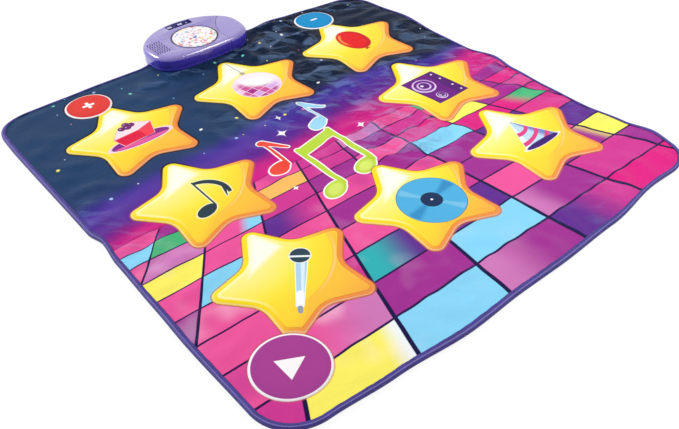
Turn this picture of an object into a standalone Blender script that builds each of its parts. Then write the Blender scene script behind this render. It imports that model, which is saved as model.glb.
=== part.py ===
"""Electronic dance mat: a sewn, padded play mat with a pressure switch under each of its
eight star pads and three round pads, and a plastic sound console fixed over its back edge.

Metres, +Z up. The player stands at -Y and faces the console at +Y. The origin is on the floor
at the middle of the whole object's footprint.
"""
import math

import bmesh
import bpy
from mathutils import Matrix, Vector

# Mat outline and the layers it is sewn from, bottom to top
MAT_WIDTH = 0.900
MAT_DEPTH = 0.940
MAT_CORNER_RADIUS = 0.075
GAP = 0.0003                      # left between pieces that touch
BACK_SHEET_THICKNESS = 0.0014
FILM_THICKNESS = 0.0003
SPACER_THICKNESS = 0.0020
TOP_SHEET_THICKNESS = 0.0010
BINDING_THICKNESS = 0.0007
BINDING_LEAF = 0.011              # how far the tape reaches in over the mat's edge

# Pads
STAR_POINT_RADIUS = 0.139         # of the sharp star, before its points are rounded
STAR_NOTCH_RADIUS = 0.0775
STAR_POINT_ROUNDING = 0.0165
STAR_NOTCH_ROUNDING = 0.040
STAR_COLUMN_PITCH = 0.2685
STAR_ROW_PITCH = 0.2425
STAR_GRID_OFFSET = (0.0055, 0.0035)  # of the middle of the stars from the middle of the mat
VOLUME_PAD_RADIUS = 0.0453
VOLUME_PAD_FROM_BACK = 0.071       # from the mat's back edge to the pads' centres
VOLUME_PAD_SHIFT = (-0.0185, 0.0015)  # of the two pads' centres along X from their stars' columns
START_PAD_RADIUS = 0.0565
START_PAD_FROM_SIDE = 0.0834       # from the mat's left edge to the pad's centre
START_PAD_FROM_FRONT = 0.099
PAD_SIDE_CLEARANCE = 0.0006
PAD_CROWN = 0.0025                 # how far a pad swells above the sheet round it
PAD_SHOULDER = 0.010
CONTACT_RADIUS = 0.045             # carbon contact under a star
CONTACT_MARGIN = 0.012             # a round pad's contact is this much smaller than the pad

# Console case
CONSOLE_WIDTH = 0.227
CONSOLE_FRONT_REACH = 0.076        # from the console's centre to its front wall
CONSOLE_BACK_REACH = 0.080
CONSOLE_OVERHANG = 0.078           # how far it stands out behind the mat
CONSOLE_HEIGHT = 0.039
CASE_WALL = 0.0022
CASE_FILLET = 0.009
CASE_DRAFT = 0.0015                # the top case's rim is this much inside its widest line
PARTING_HEIGHT = 0.0125
BASE_TUCK = 0.002                  # the bottom case's foot is this much inside the outline
FRONT_SQUARENESS = 3.4             # superellipse powers of the outline's two halves
BACK_SQUARENESS = 1.9
COVER_PROUD = 0.0004               # the battery cover stands this much outside the case
COVER_ARC_BEYOND_END = 0.0495      # from the console's right end to the arc's centre
COVER_ARC_Y = -0.050
COVER_ARC_FROM_LABEL = 0.0045      # between the label's rim and the arc
COVER_GAP = 0.0005
LABEL_RADIUS = 0.0505
LABEL_CENTRE = (-0.003, -0.0145)
LABEL_RECESS = 0.0011

# Speaker, behind a grille of square holes
GRILLE_FROM_END = 0.0265           # from the console's left end to the grille's centre
GRILLE_Y = -0.0095
GRILLE_COLUMNS = 6
GRILLE_ROWS = 10
GRILLE_PITCH = 0.0054
GRILLE_HOLE = 0.0030
SPEAKER_RADIUS = 0.017
SPEAKER_FLANGE = 0.0025
SPEAKER_DEPTH = 0.0090
SPEAKER_WALL = 0.0008
SPEAKER_MAGNET_RADIUS = 0.0105
SPEAKER_MAGNET_HEIGHT = 0.0060

# Switch panel, sunk in the top at the back
PANEL_WIDTH = 0.0600
PANEL_DEPTH = 0.0245
PANEL_FROM_BACK = 0.0085           # from the console's back to the panel's back edge
PANEL_THICKNESS = 0.0016
PANEL_SINK = 0.0028                # from the console's top down to the panel
KNOB_LENGTH = 0.0110
KNOB_DEPTH = 0.0080
KNOB_BASE = 0.0009
KNOB_RIB_HEIGHT = 0.0011
KNOB_RIBS = 4
KNOB_STEM = 0.0026
POWER_KNOB_X = -0.0215
POWER_TRAVEL = 0.0050
MODE_KNOB_X = 0.0040
MODE_TRAVEL = 0.0080
SWITCH_BODY_DEPTH = 0.0065
SWITCH_BODY_HEIGHT = 0.0050

# Circuit board and what stands on it
BOARD_SIZE = (0.070, 0.046, 0.0016)
BOARD_CENTRE = (-0.010, 0.004)
BOARD_HEIGHT = 0.0150              # of its underside above the floor
BOARD_POST_RADIUS = 0.0025
BOARD_POST_INSET = 0.0045
CHIP_RADIUS = 0.0065
CHIP_HEIGHT = 0.0020
CAPACITOR_RADIUS = 0.0032
CAPACITOR_HEIGHT = 0.0090
CONNECTOR_SIZE = (0.036, 0.006, 0.0050)
RIBBON_WIDTH = 0.030
RIBBON_THICKNESS = 0.0003
RIBBON_SLOT_DEPTH = 0.0060
RIBBON_FROM_BOARD = 0.014          # from the board's front edge forward to the slot's middle

# Three AA cells side by side under the cover, with their contacts
BATTERY_RADIUS = 0.0071
BATTERY_LENGTH = 0.0492
BATTERY_NUB_RADIUS = 0.0027
BATTERY_NUB_LENGTH = 0.0010
BATTERY_PITCH = 0.0147
BATTERY_FROM_END = 0.0385          # from the console's right end to the middle cell
SPRING_LENGTH = 0.0068
SPRING_RADIUS = 0.0036
SPRING_WIRE = 0.0007
SPRING_TURNS = 3
STRIP_THICKNESS = 0.0004
STRIP_HEIGHT = 0.0100
BAY_WALL = 0.0016
BAY_WALL_HEIGHT = 0.0120

# Fasteners
SCREW_HEAD_RADIUS = 0.0027
SCREW_HEAD_HEIGHT = 0.0016
SCREW_SHANK_RADIUS = 0.0012
SCREW_CLEARANCE = 0.0004
CASE_SCREW_LENGTH = 0.0100
BOSS_RADIUS = 0.0034
SIDE_SCREW_FROM_END = 0.0275       # from the console's left end
SIDE_SCREW_Y = 0.032
BACK_SCREWS_FROM_END = 0.0605      # from either end
BACK_SCREWS_Y = 0.054
COVER_SCREW_LENGTH = 0.0048
COVER_SCREW_HEIGHT = 0.0205
COVER_BOSS_RADIUS = 0.0045
COVER_BOSS_LENGTH = 0.0040
COVER_POST_THICKNESS = 0.0028
CLAMP_SIZE = (0.130, 0.026, 0.0011)
CLAMP_FROM_EDGE = 0.030            # from the mat's back edge forward to the plate's middle
CLAMP_SCREW_FROM_BAY = 0.00695     # from the battery bay's side
CLAMP_BOSS_RADIUS = 0.0034
CLAMP_SCREW_LENGTH = 0.0060

# How finely round shapes are cut
CORNER_STEPS = 8
POINT_STEPS = 3
NOTCH_STEPS = 2
ROUND_PAD_STEPS = 28
CONTACT_STEPS = 20
CONSOLE_STEPS = 44
FILLET_STEPS = 3
COVER_ARC_STEPS = 80
LABEL_STEPS = 36
SMALL_STEPS = 12
BATTERY_STEPS = 16
SPEAKER_STEPS = 24
SPRING_STEPS = 9                   # points in each turn

# Heights of the layers, worked out from the sizes above
BACK_SHEET_TOP = BACK_SHEET_THICKNESS
LOWER_FILM_BASE = BACK_SHEET_TOP + GAP
LOWER_FILM_TOP = LOWER_FILM_BASE + FILM_THICKNESS
SPACER_BASE = LOWER_FILM_TOP + GAP
SPACER_TOP = SPACER_BASE + SPACER_THICKNESS
UPPER_FILM_BASE = SPACER_TOP + GAP
UPPER_FILM_TOP = UPPER_FILM_BASE + FILM_THICKNESS
TOP_SHEET_BASE = UPPER_FILM_TOP + GAP
TOP_SHEET_TOP = TOP_SHEET_BASE + TOP_SHEET_THICKNESS
BINDING_TOP = TOP_SHEET_TOP + GAP + BINDING_THICKNESS

# Places in the plan
MAT_CENTRE_Y = -CONSOLE_OVERHANG / 2
MAT_BACK_Y = MAT_CENTRE_Y + MAT_DEPTH / 2
MAT_FRONT_Y = MAT_CENTRE_Y - MAT_DEPTH / 2
CONSOLE_Y = MAT_BACK_Y + CONSOLE_OVERHANG - CONSOLE_BACK_REACH
CLAMP_Y = MAT_BACK_Y - CLAMP_FROM_EDGE
LEFT_END = -CONSOLE_WIDTH / 2
RIGHT_END = CONSOLE_WIDTH / 2
BATTERY_MIDDLE_X = RIGHT_END - BATTERY_FROM_END
CLAMP_SCREW_X = BATTERY_MIDDLE_X - 1.5 * BATTERY_PITCH - CLAMP_SCREW_FROM_BAY
GRILLE_CENTRE = (LEFT_END + GRILLE_FROM_END, GRILLE_Y)
COVER_ARC_CENTRE = (RIGHT_END + COVER_ARC_BEYOND_END, COVER_ARC_Y)
COVER_ARC_RADIUS = math.dist(COVER_ARC_CENTRE, LABEL_CENTRE) - LABEL_RADIUS - COVER_ARC_FROM_LABEL
CASE_SCREWS = (
    (LEFT_END + SIDE_SCREW_FROM_END, SIDE_SCREW_Y),
    (LEFT_END + BACK_SCREWS_FROM_END, BACK_SCREWS_Y),
    (RIGHT_END - BACK_SCREWS_FROM_END, BACK_SCREWS_Y),
)
SHANK_HOLE = SCREW_SHANK_RADIUS + SCREW_CLEARANCE
HEAD_HOLE = SCREW_HEAD_RADIUS + SCREW_CLEARANCE
BASE_UNDERSIDE = BINDING_TOP + GAP
BASE_FLOOR = BASE_UNDERSIDE + CASE_WALL
CASE_CEILING = CONSOLE_HEIGHT - CASE_WALL

PURPLE = (0.22, 0.16, 0.50)
NIGHT_BLUE = (0.02, 0.03, 0.12)
STAR_YELLOW = (0.95, 0.72, 0.08)
CORAL_RED = (0.85, 0.10, 0.06)
SEA_BLUE = (0.02, 0.35, 0.70)
VIOLET_PINK = (0.55, 0.13, 0.42)
METAL = (0.62, 0.62, 0.60)


def clear_scene():
    for old in list(bpy.data.objects):
        bpy.data.objects.remove(old)


def new_material(name, colour, roughness, metallic):
    material = bpy.data.materials.new(name)
    material.use_nodes = True
    shader = material.node_tree.nodes["Principled BSDF"]
    shader.inputs["Base Color"].default_value = (*colour, 1.0)
    shader.inputs["Roughness"].default_value = roughness
    shader.inputs["Metallic"].default_value = metallic
    return material


def add_object(name, bm, colour=METAL, roughness=0.5, metallic=0.0, at=(0, 0, 0)):
    """A new object from a closed bmesh, with its faces turned out and its own material."""
    bmesh.ops.recalc_face_normals(bm, faces=bm.faces)
    mesh = bpy.data.meshes.new(name)
    bm.to_mesh(mesh)
    bm.free()
    mesh.shade_smooth()
    mesh.set_sharp_from_angle(angle=math.radians(35))
    mesh.materials.append(new_material(name, colour, roughness, metallic))
    made = bpy.data.objects.new(name, mesh)
    made.location = at
    bpy.context.scene.collection.objects.link(made)
    return made


def add_cutter(name, bm, at=(0, 0, 0)):
    cutter = add_object(name, bm, at=at)
    cutter.hide_render = True
    cutter.display_type = "WIRE"
    return cutter


def combine(target, tool, operation):
    """Cuts the tool from the target, joins it on, or keeps only what both share."""
    modifier = target.modifiers.new(tool.name, "BOOLEAN")
    modifier.operation = operation
    modifier.solver = "EXACT"
    modifier.object = tool


def cut(target, tool):
    combine(target, tool, "DIFFERENCE")


def join(target, tool):
    combine(target, tool, "UNION")


def loft(rings, closed=False, bm=None):
    """Skins rings that have the same number of points. An open loft gets a cap at each end."""
    bm = bm or bmesh.new()
    loops = [[bm.verts.new(point) for point in ring] for ring in rings]
    count = len(loops[0])
    pairs = list(zip(loops, loops[1:] + loops[:1])) if closed else list(zip(loops, loops[1:]))
    for low, high in pairs:
        for i in range(count):
            j = (i + 1) % count
            bm.faces.new((low[i], low[j], high[j], high[i]))
    if not closed:
        bm.faces.new(list(reversed(loops[0])))
        bm.faces.new(loops[-1])
    return bm


def level(outline, z):
    return [(x, y, z) for x, y in outline]


def prism(outline, low, high, bm=None):
    return loft([level(outline, low), level(outline, high)], bm=bm)


def circle(radius, steps, centre=(0, 0)):
    turns = [2 * math.pi * i / steps for i in range(steps)]
    return [(centre[0] + radius * math.cos(t), centre[1] + radius * math.sin(t)) for t in turns]


def rectangle(width, depth, centre=(0, 0)):
    x, y = width / 2, depth / 2
    return [(centre[0] + sx * x, centre[1] + sy * y) for sx, sy in ((-1, -1), (1, -1), (1, 1), (-1, 1))]


def box(width, depth, low, high, centre=(0, 0), bm=None):
    return prism(rectangle(width, depth, centre), low, high, bm)


def cylinder(radius, low, high, steps=SMALL_STEPS, centre=(0, 0), bm=None):
    return prism(circle(radius, steps, centre), low, high, bm)


def turned(profile, steps=SMALL_STEPS, closed=False):
    """A body turned about Z from (radius, height) points, bottom to top."""
    return loft([level(circle(r, steps), z) for r, z in profile], closed=closed)


def along_y(bm):
    """Lays a body that was made along +Z down along +Y."""
    bmesh.ops.rotate(bm, matrix=Matrix.Rotation(-math.pi / 2, 3, "X"), verts=bm.verts)
    return bm


def along_x(bm):
    bmesh.ops.rotate(bm, matrix=Matrix.Rotation(math.pi / 2, 3, "Y"), verts=bm.verts)
    return bm


def rounded_mat(inset):
    """The mat's outline, moved in by the inset all round."""
    radius = MAT_CORNER_RADIUS - inset
    points = []
    for quarter, (sx, sy) in enumerate(((1, 1), (-1, 1), (-1, -1), (1, -1))):
        cx = sx * (MAT_WIDTH / 2 - MAT_CORNER_RADIUS)
        cy = sy * (MAT_DEPTH / 2 - MAT_CORNER_RADIUS)
        for i in range(CORNER_STEPS + 1):
            t = (quarter + i / CORNER_STEPS) * math.pi / 2
            points.append((cx + radius * math.cos(t), MAT_CENTRE_Y + cy + radius * math.sin(t)))
    return points


def rounded_corners(corners):
    """An outline from (point, rounding, steps) corners, each rounded with an arc."""
    points = []
    for i, (corner, rounding, steps) in enumerate(corners):
        here = Vector(corner)
        back = (Vector(corners[i - 1][0]) - here).normalized()
        on = (Vector(corners[(i + 1) % len(corners)][0]) - here).normalized()
        half = back.angle(on) / 2
        middle = here + (back + on).normalized() * rounding / math.sin(half)
        start = here + back * rounding / math.tan(half) - middle
        end = here + on * rounding / math.tan(half) - middle
        sweep = start.angle_signed(end)
        turns = [Matrix.Rotation(-sweep * k / steps, 2) for k in range(steps + 1)]
        points += [tuple(middle + turn @ start) for turn in turns]
    return points


def star_outline(grow=0.0):
    """A rounded five-pointed star about the origin, grown outwards all round."""
    sector = math.pi / 5
    notch_x = STAR_NOTCH_RADIUS * math.sin(sector)
    notch_y = STAR_NOTCH_RADIUS * math.cos(sector)
    half_point = math.atan2(notch_x, STAR_POINT_RADIUS - notch_y)
    half_notch = half_point + sector
    corners = []
    for k in range(10):
        turn = math.pi / 2 + sector * k
        if k % 2 == 0:
            reach = STAR_POINT_RADIUS + grow / math.sin(half_point)
            corner = (reach, STAR_POINT_ROUNDING + grow, POINT_STEPS)
        else:
            reach = STAR_NOTCH_RADIUS + grow / math.sin(half_notch)
            corner = (reach, STAR_NOTCH_ROUNDING - grow, NOTCH_STEPS)
        reach, rounding, steps = corner
        corners.append(((reach * math.cos(turn), reach * math.sin(turn)), rounding, steps))
    return rounded_corners(corners)


def star_places():
    """Each star pad's name and centre. The middle of the mat has none."""
    names = (
        ("microphone", "record", "party_hat"),
        ("note", None, "loudspeaker"),
        ("cake", "mirror_ball", "balloon"),
    )
    places = {}
    for row, row_names in enumerate(names):
        for column, name in enumerate(row_names):
            if name:
                x = STAR_GRID_OFFSET[0] + (column - 1) * STAR_COLUMN_PITCH
                y = MAT_CENTRE_Y + STAR_GRID_OFFSET[1] + (row - 1) * STAR_ROW_PITCH
                places[name] = (x, y)
    return places


def round_pad_places():
    """Each round pad's name, with its centre, radius and the star whose point it covers."""
    volume_y = MAT_BACK_Y - VOLUME_PAD_FROM_BACK
    left_x = STAR_GRID_OFFSET[0] - STAR_COLUMN_PITCH + VOLUME_PAD_SHIFT[0]
    right_x = STAR_GRID_OFFSET[0] + STAR_COLUMN_PITCH + VOLUME_PAD_SHIFT[1]
    start = (-MAT_WIDTH / 2 + START_PAD_FROM_SIDE, MAT_FRONT_Y + START_PAD_FROM_FRONT)
    return {
        "volume_up": ((left_x, volume_y), VOLUME_PAD_RADIUS, "cake"),
        "volume_down": ((right_x, volume_y), VOLUME_PAD_RADIUS, "balloon"),
        "start": (start, START_PAD_RADIUS, "microphone"),
    }


def pad_body(outline_at):
    """A pad: a patch of the printed sheet with a swollen top."""
    crown = TOP_SHEET_TOP + PAD_CROWN
    return loft([
        level(outline_at(0.0), TOP_SHEET_BASE),
        level(outline_at(0.0), TOP_SHEET_TOP),
        level(outline_at(-PAD_SHOULDER / 2), crown - PAD_CROWN / 4),
        level(outline_at(-PAD_SHOULDER), crown),
    ])


def add_contact(name, radius, centre):
    bm = cylinder(radius, UPPER_FILM_BASE, UPPER_FILM_TOP, CONTACT_STEPS)
    add_object("contact_" + name, bm, (0.02, 0.02, 0.02), 0.7, at=(*centre, 0))


def make_pads():
    """The eleven pads with their contacts. Returns the cutters of their openings."""
    low, high = SPACER_BASE - GAP / 2, TOP_SHEET_TOP + 2 * PAD_CROWN
    openings = []
    stars = {}
    for name, centre in star_places().items():
        body = pad_body(star_outline)
        stars[name] = add_object("star_pad_" + name, body, STAR_YELLOW, 0.45, at=(*centre, 0))
        add_contact(name, CONTACT_RADIUS, centre)
        opening = prism(star_outline(PAD_SIDE_CLEARANCE), low, high)
        openings.append(add_cutter("opening_" + name, opening, at=(*centre, 0)))
    colours = {"volume_up": CORAL_RED, "volume_down": SEA_BLUE, "start": VIOLET_PINK}
    for name, (centre, radius, covered) in round_pad_places().items():
        def outline_at(grow, radius=radius):
            return circle(radius + grow, ROUND_PAD_STEPS)
        add_object(name + "_pad", pad_body(outline_at), colours[name], 0.45, at=(*centre, 0))
        add_contact(name, radius - CONTACT_MARGIN, centre)
        opening = prism(outline_at(PAD_SIDE_CLEARANCE), low, high)
        cutter = add_cutter("opening_" + name, opening, at=(*centre, 0))
        openings.append(cutter)
        cut(stars[covered], cutter)
    return openings


def make_mat(openings):
    """The mat's layers, with the pads' openings in the three upper ones, and its bound edge."""
    edge = BINDING_THICKNESS + GAP
    field = BINDING_LEAF + GAP
    rebate = BINDING_THICKNESS + GAP
    back_sheet = loft([
        level(rounded_mat(field), 0),
        level(rounded_mat(field), rebate),
        level(rounded_mat(edge), rebate),
        level(rounded_mat(edge), BACK_SHEET_TOP),
    ])
    back_sheet = add_object("back_sheet", back_sheet, (0.05, 0.05, 0.07), 0.9)
    lower_film = prism(rounded_mat(edge), LOWER_FILM_BASE, LOWER_FILM_TOP)
    lower_film = add_object("lower_circuit_film", lower_film, (0.75, 0.78, 0.75), 0.3)
    spacer = prism(rounded_mat(edge), SPACER_BASE, SPACER_TOP)
    spacer = add_object("spacer_foam", spacer, (0.9, 0.9, 0.88), 0.8)
    upper_film = prism(rounded_mat(edge), UPPER_FILM_BASE, UPPER_FILM_TOP)
    upper_film = add_object("upper_circuit_film", upper_film, (0.75, 0.78, 0.75), 0.3)
    top_sheet = prism(rounded_mat(edge), TOP_SHEET_BASE, TOP_SHEET_TOP)
    top_sheet = add_object("printed_top_sheet", top_sheet, NIGHT_BLUE, 0.45)
    for layer in (spacer, upper_film, top_sheet):
        for opening in openings:
            cut(layer, opening)

    t = BINDING_THICKNESS
    section = (
        (t, 0), (BINDING_LEAF, 0), (BINDING_LEAF, t), (t, t),
        (t, BINDING_TOP - t), (BINDING_LEAF, BINDING_TOP - t),
        (BINDING_LEAF, BINDING_TOP), (t, BINDING_TOP),
        (0, BINDING_TOP - t), (0, t),
    )
    binding = loft([level(rounded_mat(inset), z) for inset, z in section], closed=True)
    add_object("edge_binding", binding, PURPLE, 0.6)

    # The clamp plate sits in a notch in the back sheet, and its two bosses rise through the layers.
    width, depth, thickness = CLAMP_SIZE
    notch = box(width + 2 * GAP, depth + 2 * GAP, -GAP, BACK_SHEET_TOP + GAP / 2, (0, CLAMP_Y))
    cut(back_sheet, add_cutter("clamp_notch", notch))
    plate = add_object("clamp_plate", box(width, depth, 0, thickness, (0, CLAMP_Y)), PURPLE, 0.5)
    for side, x in (("left", -CLAMP_SCREW_X), ("right", CLAMP_SCREW_X)):
        boss = cylinder(CLAMP_BOSS_RADIUS, thickness / 2, BINDING_TOP, centre=(x, CLAMP_Y))
        join(plate, add_cutter("clamp_boss_" + side, boss))
        hole = cylinder(SHANK_HOLE, thickness, 2 * BINDING_TOP, centre=(x, CLAMP_Y))
        cut(plate, add_cutter("clamp_boss_hole_" + side, hole))
        passage = cylinder(CLAMP_BOSS_RADIUS + 2 * GAP, BACK_SHEET_TOP, BINDING_TOP, centre=(x, CLAMP_Y))
        passage = add_cutter("clamp_passage_" + side, passage)
        for layer in (lower_film, spacer, upper_film, top_sheet):
            cut(layer, passage)
    return top_sheet


def console_outline(inset, steps=CONSOLE_STEPS):
    """The console's plan: nearly square at the front and half an ellipse at the back."""
    a = CONSOLE_WIDTH / 2 - inset
    points = []
    for i in range(steps):
        t = 2 * math.pi * (i + 0.5) / steps
        c, s = math.cos(t), math.sin(t)
        power = BACK_SQUARENESS if s > 0 else FRONT_SQUARENESS
        b = (CONSOLE_BACK_REACH if s > 0 else CONSOLE_FRONT_REACH) - inset
        x = a * math.copysign(abs(c) ** (2 / power), c)
        y = b * math.copysign(abs(s) ** (2 / power), s)
        points.append((x, CONSOLE_Y + y))
    return points


def case_rings(grow, ceiling, rim):
    """Rings of the top case's skin, from its rim up over the fillet, grown outwards."""
    radius = CASE_FILLET + grow
    spring_line = ceiling - radius
    rings = [level(console_outline(CASE_DRAFT - grow), rim)]
    for i in range(FILLET_STEPS + 1):
        t = i / FILLET_STEPS * math.pi / 2
        inset = radius * (1 - math.cos(t)) - grow
        rings.append(level(console_outline(inset), spring_line + radius * math.sin(t)))
    return rings


def case_shell(grow):
    """An upturned cup of the case's wall thickness."""
    outer = case_rings(grow, CONSOLE_HEIGHT + grow, PARTING_HEIGHT)
    inner = case_rings(-CASE_WALL, CASE_CEILING, PARTING_HEIGHT)
    return loft(list(reversed(outer)) + inner)


def on_console(x, y):
    return (x, CONSOLE_Y + y)


def cover_region(radius):
    """The battery cover's side of the arc that parts it from the top case."""
    centre = on_console(*COVER_ARC_CENTRE)
    high = CONSOLE_HEIGHT + CASE_WALL
    return cylinder(radius, PARTING_HEIGHT - CASE_WALL, high, COVER_ARC_STEPS, centre)


def panel_centre_y():
    return CONSOLE_BACK_REACH - PANEL_FROM_BACK - PANEL_DEPTH / 2


def make_top_case():
    case = add_object("console_top_case", case_shell(0.0), PURPLE, 0.35)
    cut(case, add_cutter("cover_space", cover_region(COVER_ARC_RADIUS)))

    recess_floor = CONSOLE_HEIGHT - LABEL_RECESS
    centre = on_console(*LABEL_CENTRE)
    recess = cylinder(LABEL_RADIUS + GAP, recess_floor, CONSOLE_HEIGHT + CASE_WALL, LABEL_STEPS, centre)
    cut(case, add_cutter("label_recess", recess))
    label = cylinder(LABEL_RADIUS, recess_floor + GAP, CONSOLE_HEIGHT, LABEL_STEPS, centre)
    add_object("label_disc", label, (0.9, 0.9, 0.9), 0.4)

    holes = bmesh.new()
    low, high = CASE_CEILING - CASE_WALL, CONSOLE_HEIGHT + CASE_WALL
    for column in range(GRILLE_COLUMNS):
        for row in range(GRILLE_ROWS):
            x = GRILLE_CENTRE[0] + (column - (GRILLE_COLUMNS - 1) / 2) * GRILLE_PITCH
            y = GRILLE_CENTRE[1] + (row - (GRILLE_ROWS - 1) / 2) * GRILLE_PITCH
            box(GRILLE_HOLE, GRILLE_HOLE, low, high, on_console(x, y), holes)
    cut(case, add_cutter("grille_holes", holes))

    # The panel's window runs right through, and behind it the case is only lowered.
    panel_top = CONSOLE_HEIGHT - PANEL_SINK
    middle = on_console(0, panel_centre_y())
    window = box(PANEL_WIDTH, PANEL_DEPTH, panel_top - CASE_FILLET, CONSOLE_HEIGHT + CASE_WALL, middle)
    cut(case, add_cutter("panel_window", window))
    behind = PANEL_FROM_BACK + CASE_WALL
    lowered_centre = on_console(0, CONSOLE_BACK_REACH - PANEL_FROM_BACK + behind / 2 - CASE_WALL / 2)
    lowered = box(PANEL_WIDTH, behind, panel_top, CONSOLE_HEIGHT + CASE_WALL, lowered_centre)
    cut(case, add_cutter("panel_back_opening", lowered))

    head_seat = BASE_FLOOR + SCREW_HEAD_HEIGHT
    for number, place in enumerate(CASE_SCREWS, 1):
        centre = on_console(*place)
        boss = cylinder(BOSS_RADIUS, BASE_FLOOR + GAP, CASE_CEILING + CASE_WALL / 3, centre=centre)
        join(case, add_cutter(f"case_boss_{number}", boss))
        hole = cylinder(SHANK_HOLE, 0, head_seat + CASE_SCREW_LENGTH, centre=centre)
        cut(case, add_cutter(f"case_boss_hole_{number}", hole))


def make_bottom_case():
    """A tray on the mat's edge, with a skirt behind the mat that stands on the floor."""
    rim = PARTING_HEIGHT - GAP
    outer = loft([
        level(console_outline(BASE_TUCK), 0),
        level(console_outline(BASE_TUCK), BASE_UNDERSIDE),
        level(console_outline(CASE_DRAFT), rim),
    ])
    case = add_object("console_bottom_case", outer, PURPLE, 0.4)
    inside = loft([
        level(console_outline(BASE_TUCK + CASE_WALL), BASE_FLOOR),
        level(console_outline(CASE_DRAFT + CASE_WALL), rim + GAP / 2),
        level(console_outline(CASE_DRAFT + CASE_WALL), rim + CASE_WALL),
    ])
    cut(case, add_cutter("tray_space", inside))
    skirt_front = MAT_BACK_Y + GAP
    depth = CONSOLE_FRONT_REACH + CONSOLE_OVERHANG
    mat_space = box(CONSOLE_WIDTH, depth, -CASE_WALL, BASE_UNDERSIDE, (0, skirt_front - depth / 2))
    cut(case, add_cutter("mat_space", mat_space))
    under = loft([
        level(console_outline(BASE_TUCK + CASE_WALL), -CASE_WALL),
        level(console_outline(BASE_TUCK + CASE_WALL), BASE_UNDERSIDE),
    ])
    under = add_cutter("skirt_space", under)
    wall_centre = (0, skirt_front + CASE_WALL - depth / 2)
    keep_wall = box(CONSOLE_WIDTH, depth, -2 * CASE_WALL, BASE_FLOOR, wall_centre)
    cut(under, add_cutter("skirt_front_wall", keep_wall))
    cut(case, under)

    board_x, board_y = BOARD_CENTRE
    for i, (sx, sy) in enumerate(((-1, -1), (1, -1), (1, 1), (-1, 1)), 1):
        x = board_x + sx * (BOARD_SIZE[0] / 2 - BOARD_POST_INSET)
        y = board_y + sy * (BOARD_SIZE[1] / 2 - BOARD_POST_INSET)
        post = cylinder(BOARD_POST_RADIUS, BASE_FLOOR - GAP, BOARD_HEIGHT - GAP, centre=on_console(x, y))
        join(case, add_cutter(f"board_post_{i}", post))

    bay_width = 3 * BATTERY_PITCH
    for side in (-1, 1):
        y = side * (bay_half_length() + STRIP_THICKNESS + GAP + BAY_WALL / 2)
        wall = box(bay_width, BAY_WALL, BASE_FLOOR - GAP, BASE_FLOOR + BAY_WALL_HEIGHT,
                   on_console(BATTERY_MIDDLE_X, y))
        join(case, add_cutter("bay_wall_front" if side < 0 else "bay_wall_back", wall))

    post_x = cover_post_x()
    top = COVER_SCREW_HEIGHT + COVER_BOSS_RADIUS
    post = box(COVER_POST_THICKNESS, 2 * COVER_BOSS_RADIUS, BASE_FLOOR - GAP, top, on_console(post_x, 0))
    join(case, add_cutter("cover_post", post))
    hole = along_x(cylinder(SHANK_HOLE, -COVER_POST_THICKNESS, COVER_POST_THICKNESS))
    cut(case, add_cutter("cover_post_hole", hole, at=(post_x, CONSOLE_Y, COVER_SCREW_HEIGHT)))

    for number, place in enumerate(CASE_SCREWS, 1):
        hole = cylinder(SHANK_HOLE, 0, BASE_FLOOR + GAP, centre=on_console(*place))
        cut(case, add_cutter(f"base_screw_hole_{number}", hole))
    for side, x in (("left", -CLAMP_SCREW_X), ("right", CLAMP_SCREW_X)):
        hole = cylinder(SHANK_HOLE, 0, BASE_FLOOR + GAP, centre=(x, CLAMP_Y))
        cut(case, add_cutter("clamp_screw_hole_" + side, hole))
    return case


def bay_half_length():
    """From the cells' middle to the face of either contact strip."""
    return (BATTERY_LENGTH + BATTERY_NUB_LENGTH + SPRING_LENGTH + 3 * GAP) / 2


def cover_post_x():
    """The post's place, just beyond the outermost cell."""
    outermost = BATTERY_MIDDLE_X + BATTERY_PITCH + BATTERY_RADIUS
    return outermost + GAP + COVER_POST_THICKNESS / 2


def screw(length, steps=SMALL_STEPS):
    """A pan-head screw along Z: its head's underside is at the origin and its shank points down."""
    return turned([
        (SCREW_SHANK_RADIUS / 2, -length),
        (SCREW_SHANK_RADIUS, -length + SCREW_SHANK_RADIUS),
        (SCREW_SHANK_RADIUS, 0),
        (SCREW_HEAD_RADIUS, 0),
        (SCREW_HEAD_RADIUS, SCREW_HEAD_HEIGHT / 2),
        (SCREW_HEAD_RADIUS * 0.6, SCREW_HEAD_HEIGHT),
    ], steps)


def make_battery_cover():
    """The right-hand end of the case. It slides off to the right once its screw is out."""
    cover = add_object("battery_cover", case_shell(COVER_PROUD), PURPLE, 0.35)
    combine(cover, add_cutter("cover_keep", cover_region(COVER_ARC_RADIUS - COVER_GAP)), "INTERSECT")
    start = cover_post_x() + COVER_POST_THICKNESS / 2 + GAP
    end = CONSOLE_WIDTH / 2 - CASE_WALL / 2
    boss = along_x(cylinder(COVER_BOSS_RADIUS, start, end))
    join(cover, add_cutter("cover_boss", boss, at=(0, CONSOLE_Y, COVER_SCREW_HEIGHT)))
    seat = start + COVER_BOSS_LENGTH - CASE_WALL
    shank = along_x(cylinder(SHANK_HOLE, start - CASE_WALL, CONSOLE_WIDTH))
    cut(cover, add_cutter("cover_screw_hole", shank, at=(0, CONSOLE_Y, COVER_SCREW_HEIGHT)))
    head = along_x(cylinder(HEAD_HOLE, seat, CONSOLE_WIDTH))
    cut(cover, add_cutter("cover_screw_seat", head, at=(0, CONSOLE_Y, COVER_SCREW_HEIGHT)))
    body = along_x(screw(COVER_SCREW_LENGTH))
    add_object("cover_screw", body, METAL, 0.35, 0.9, at=(seat + GAP, CONSOLE_Y, COVER_SCREW_HEIGHT))


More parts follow.
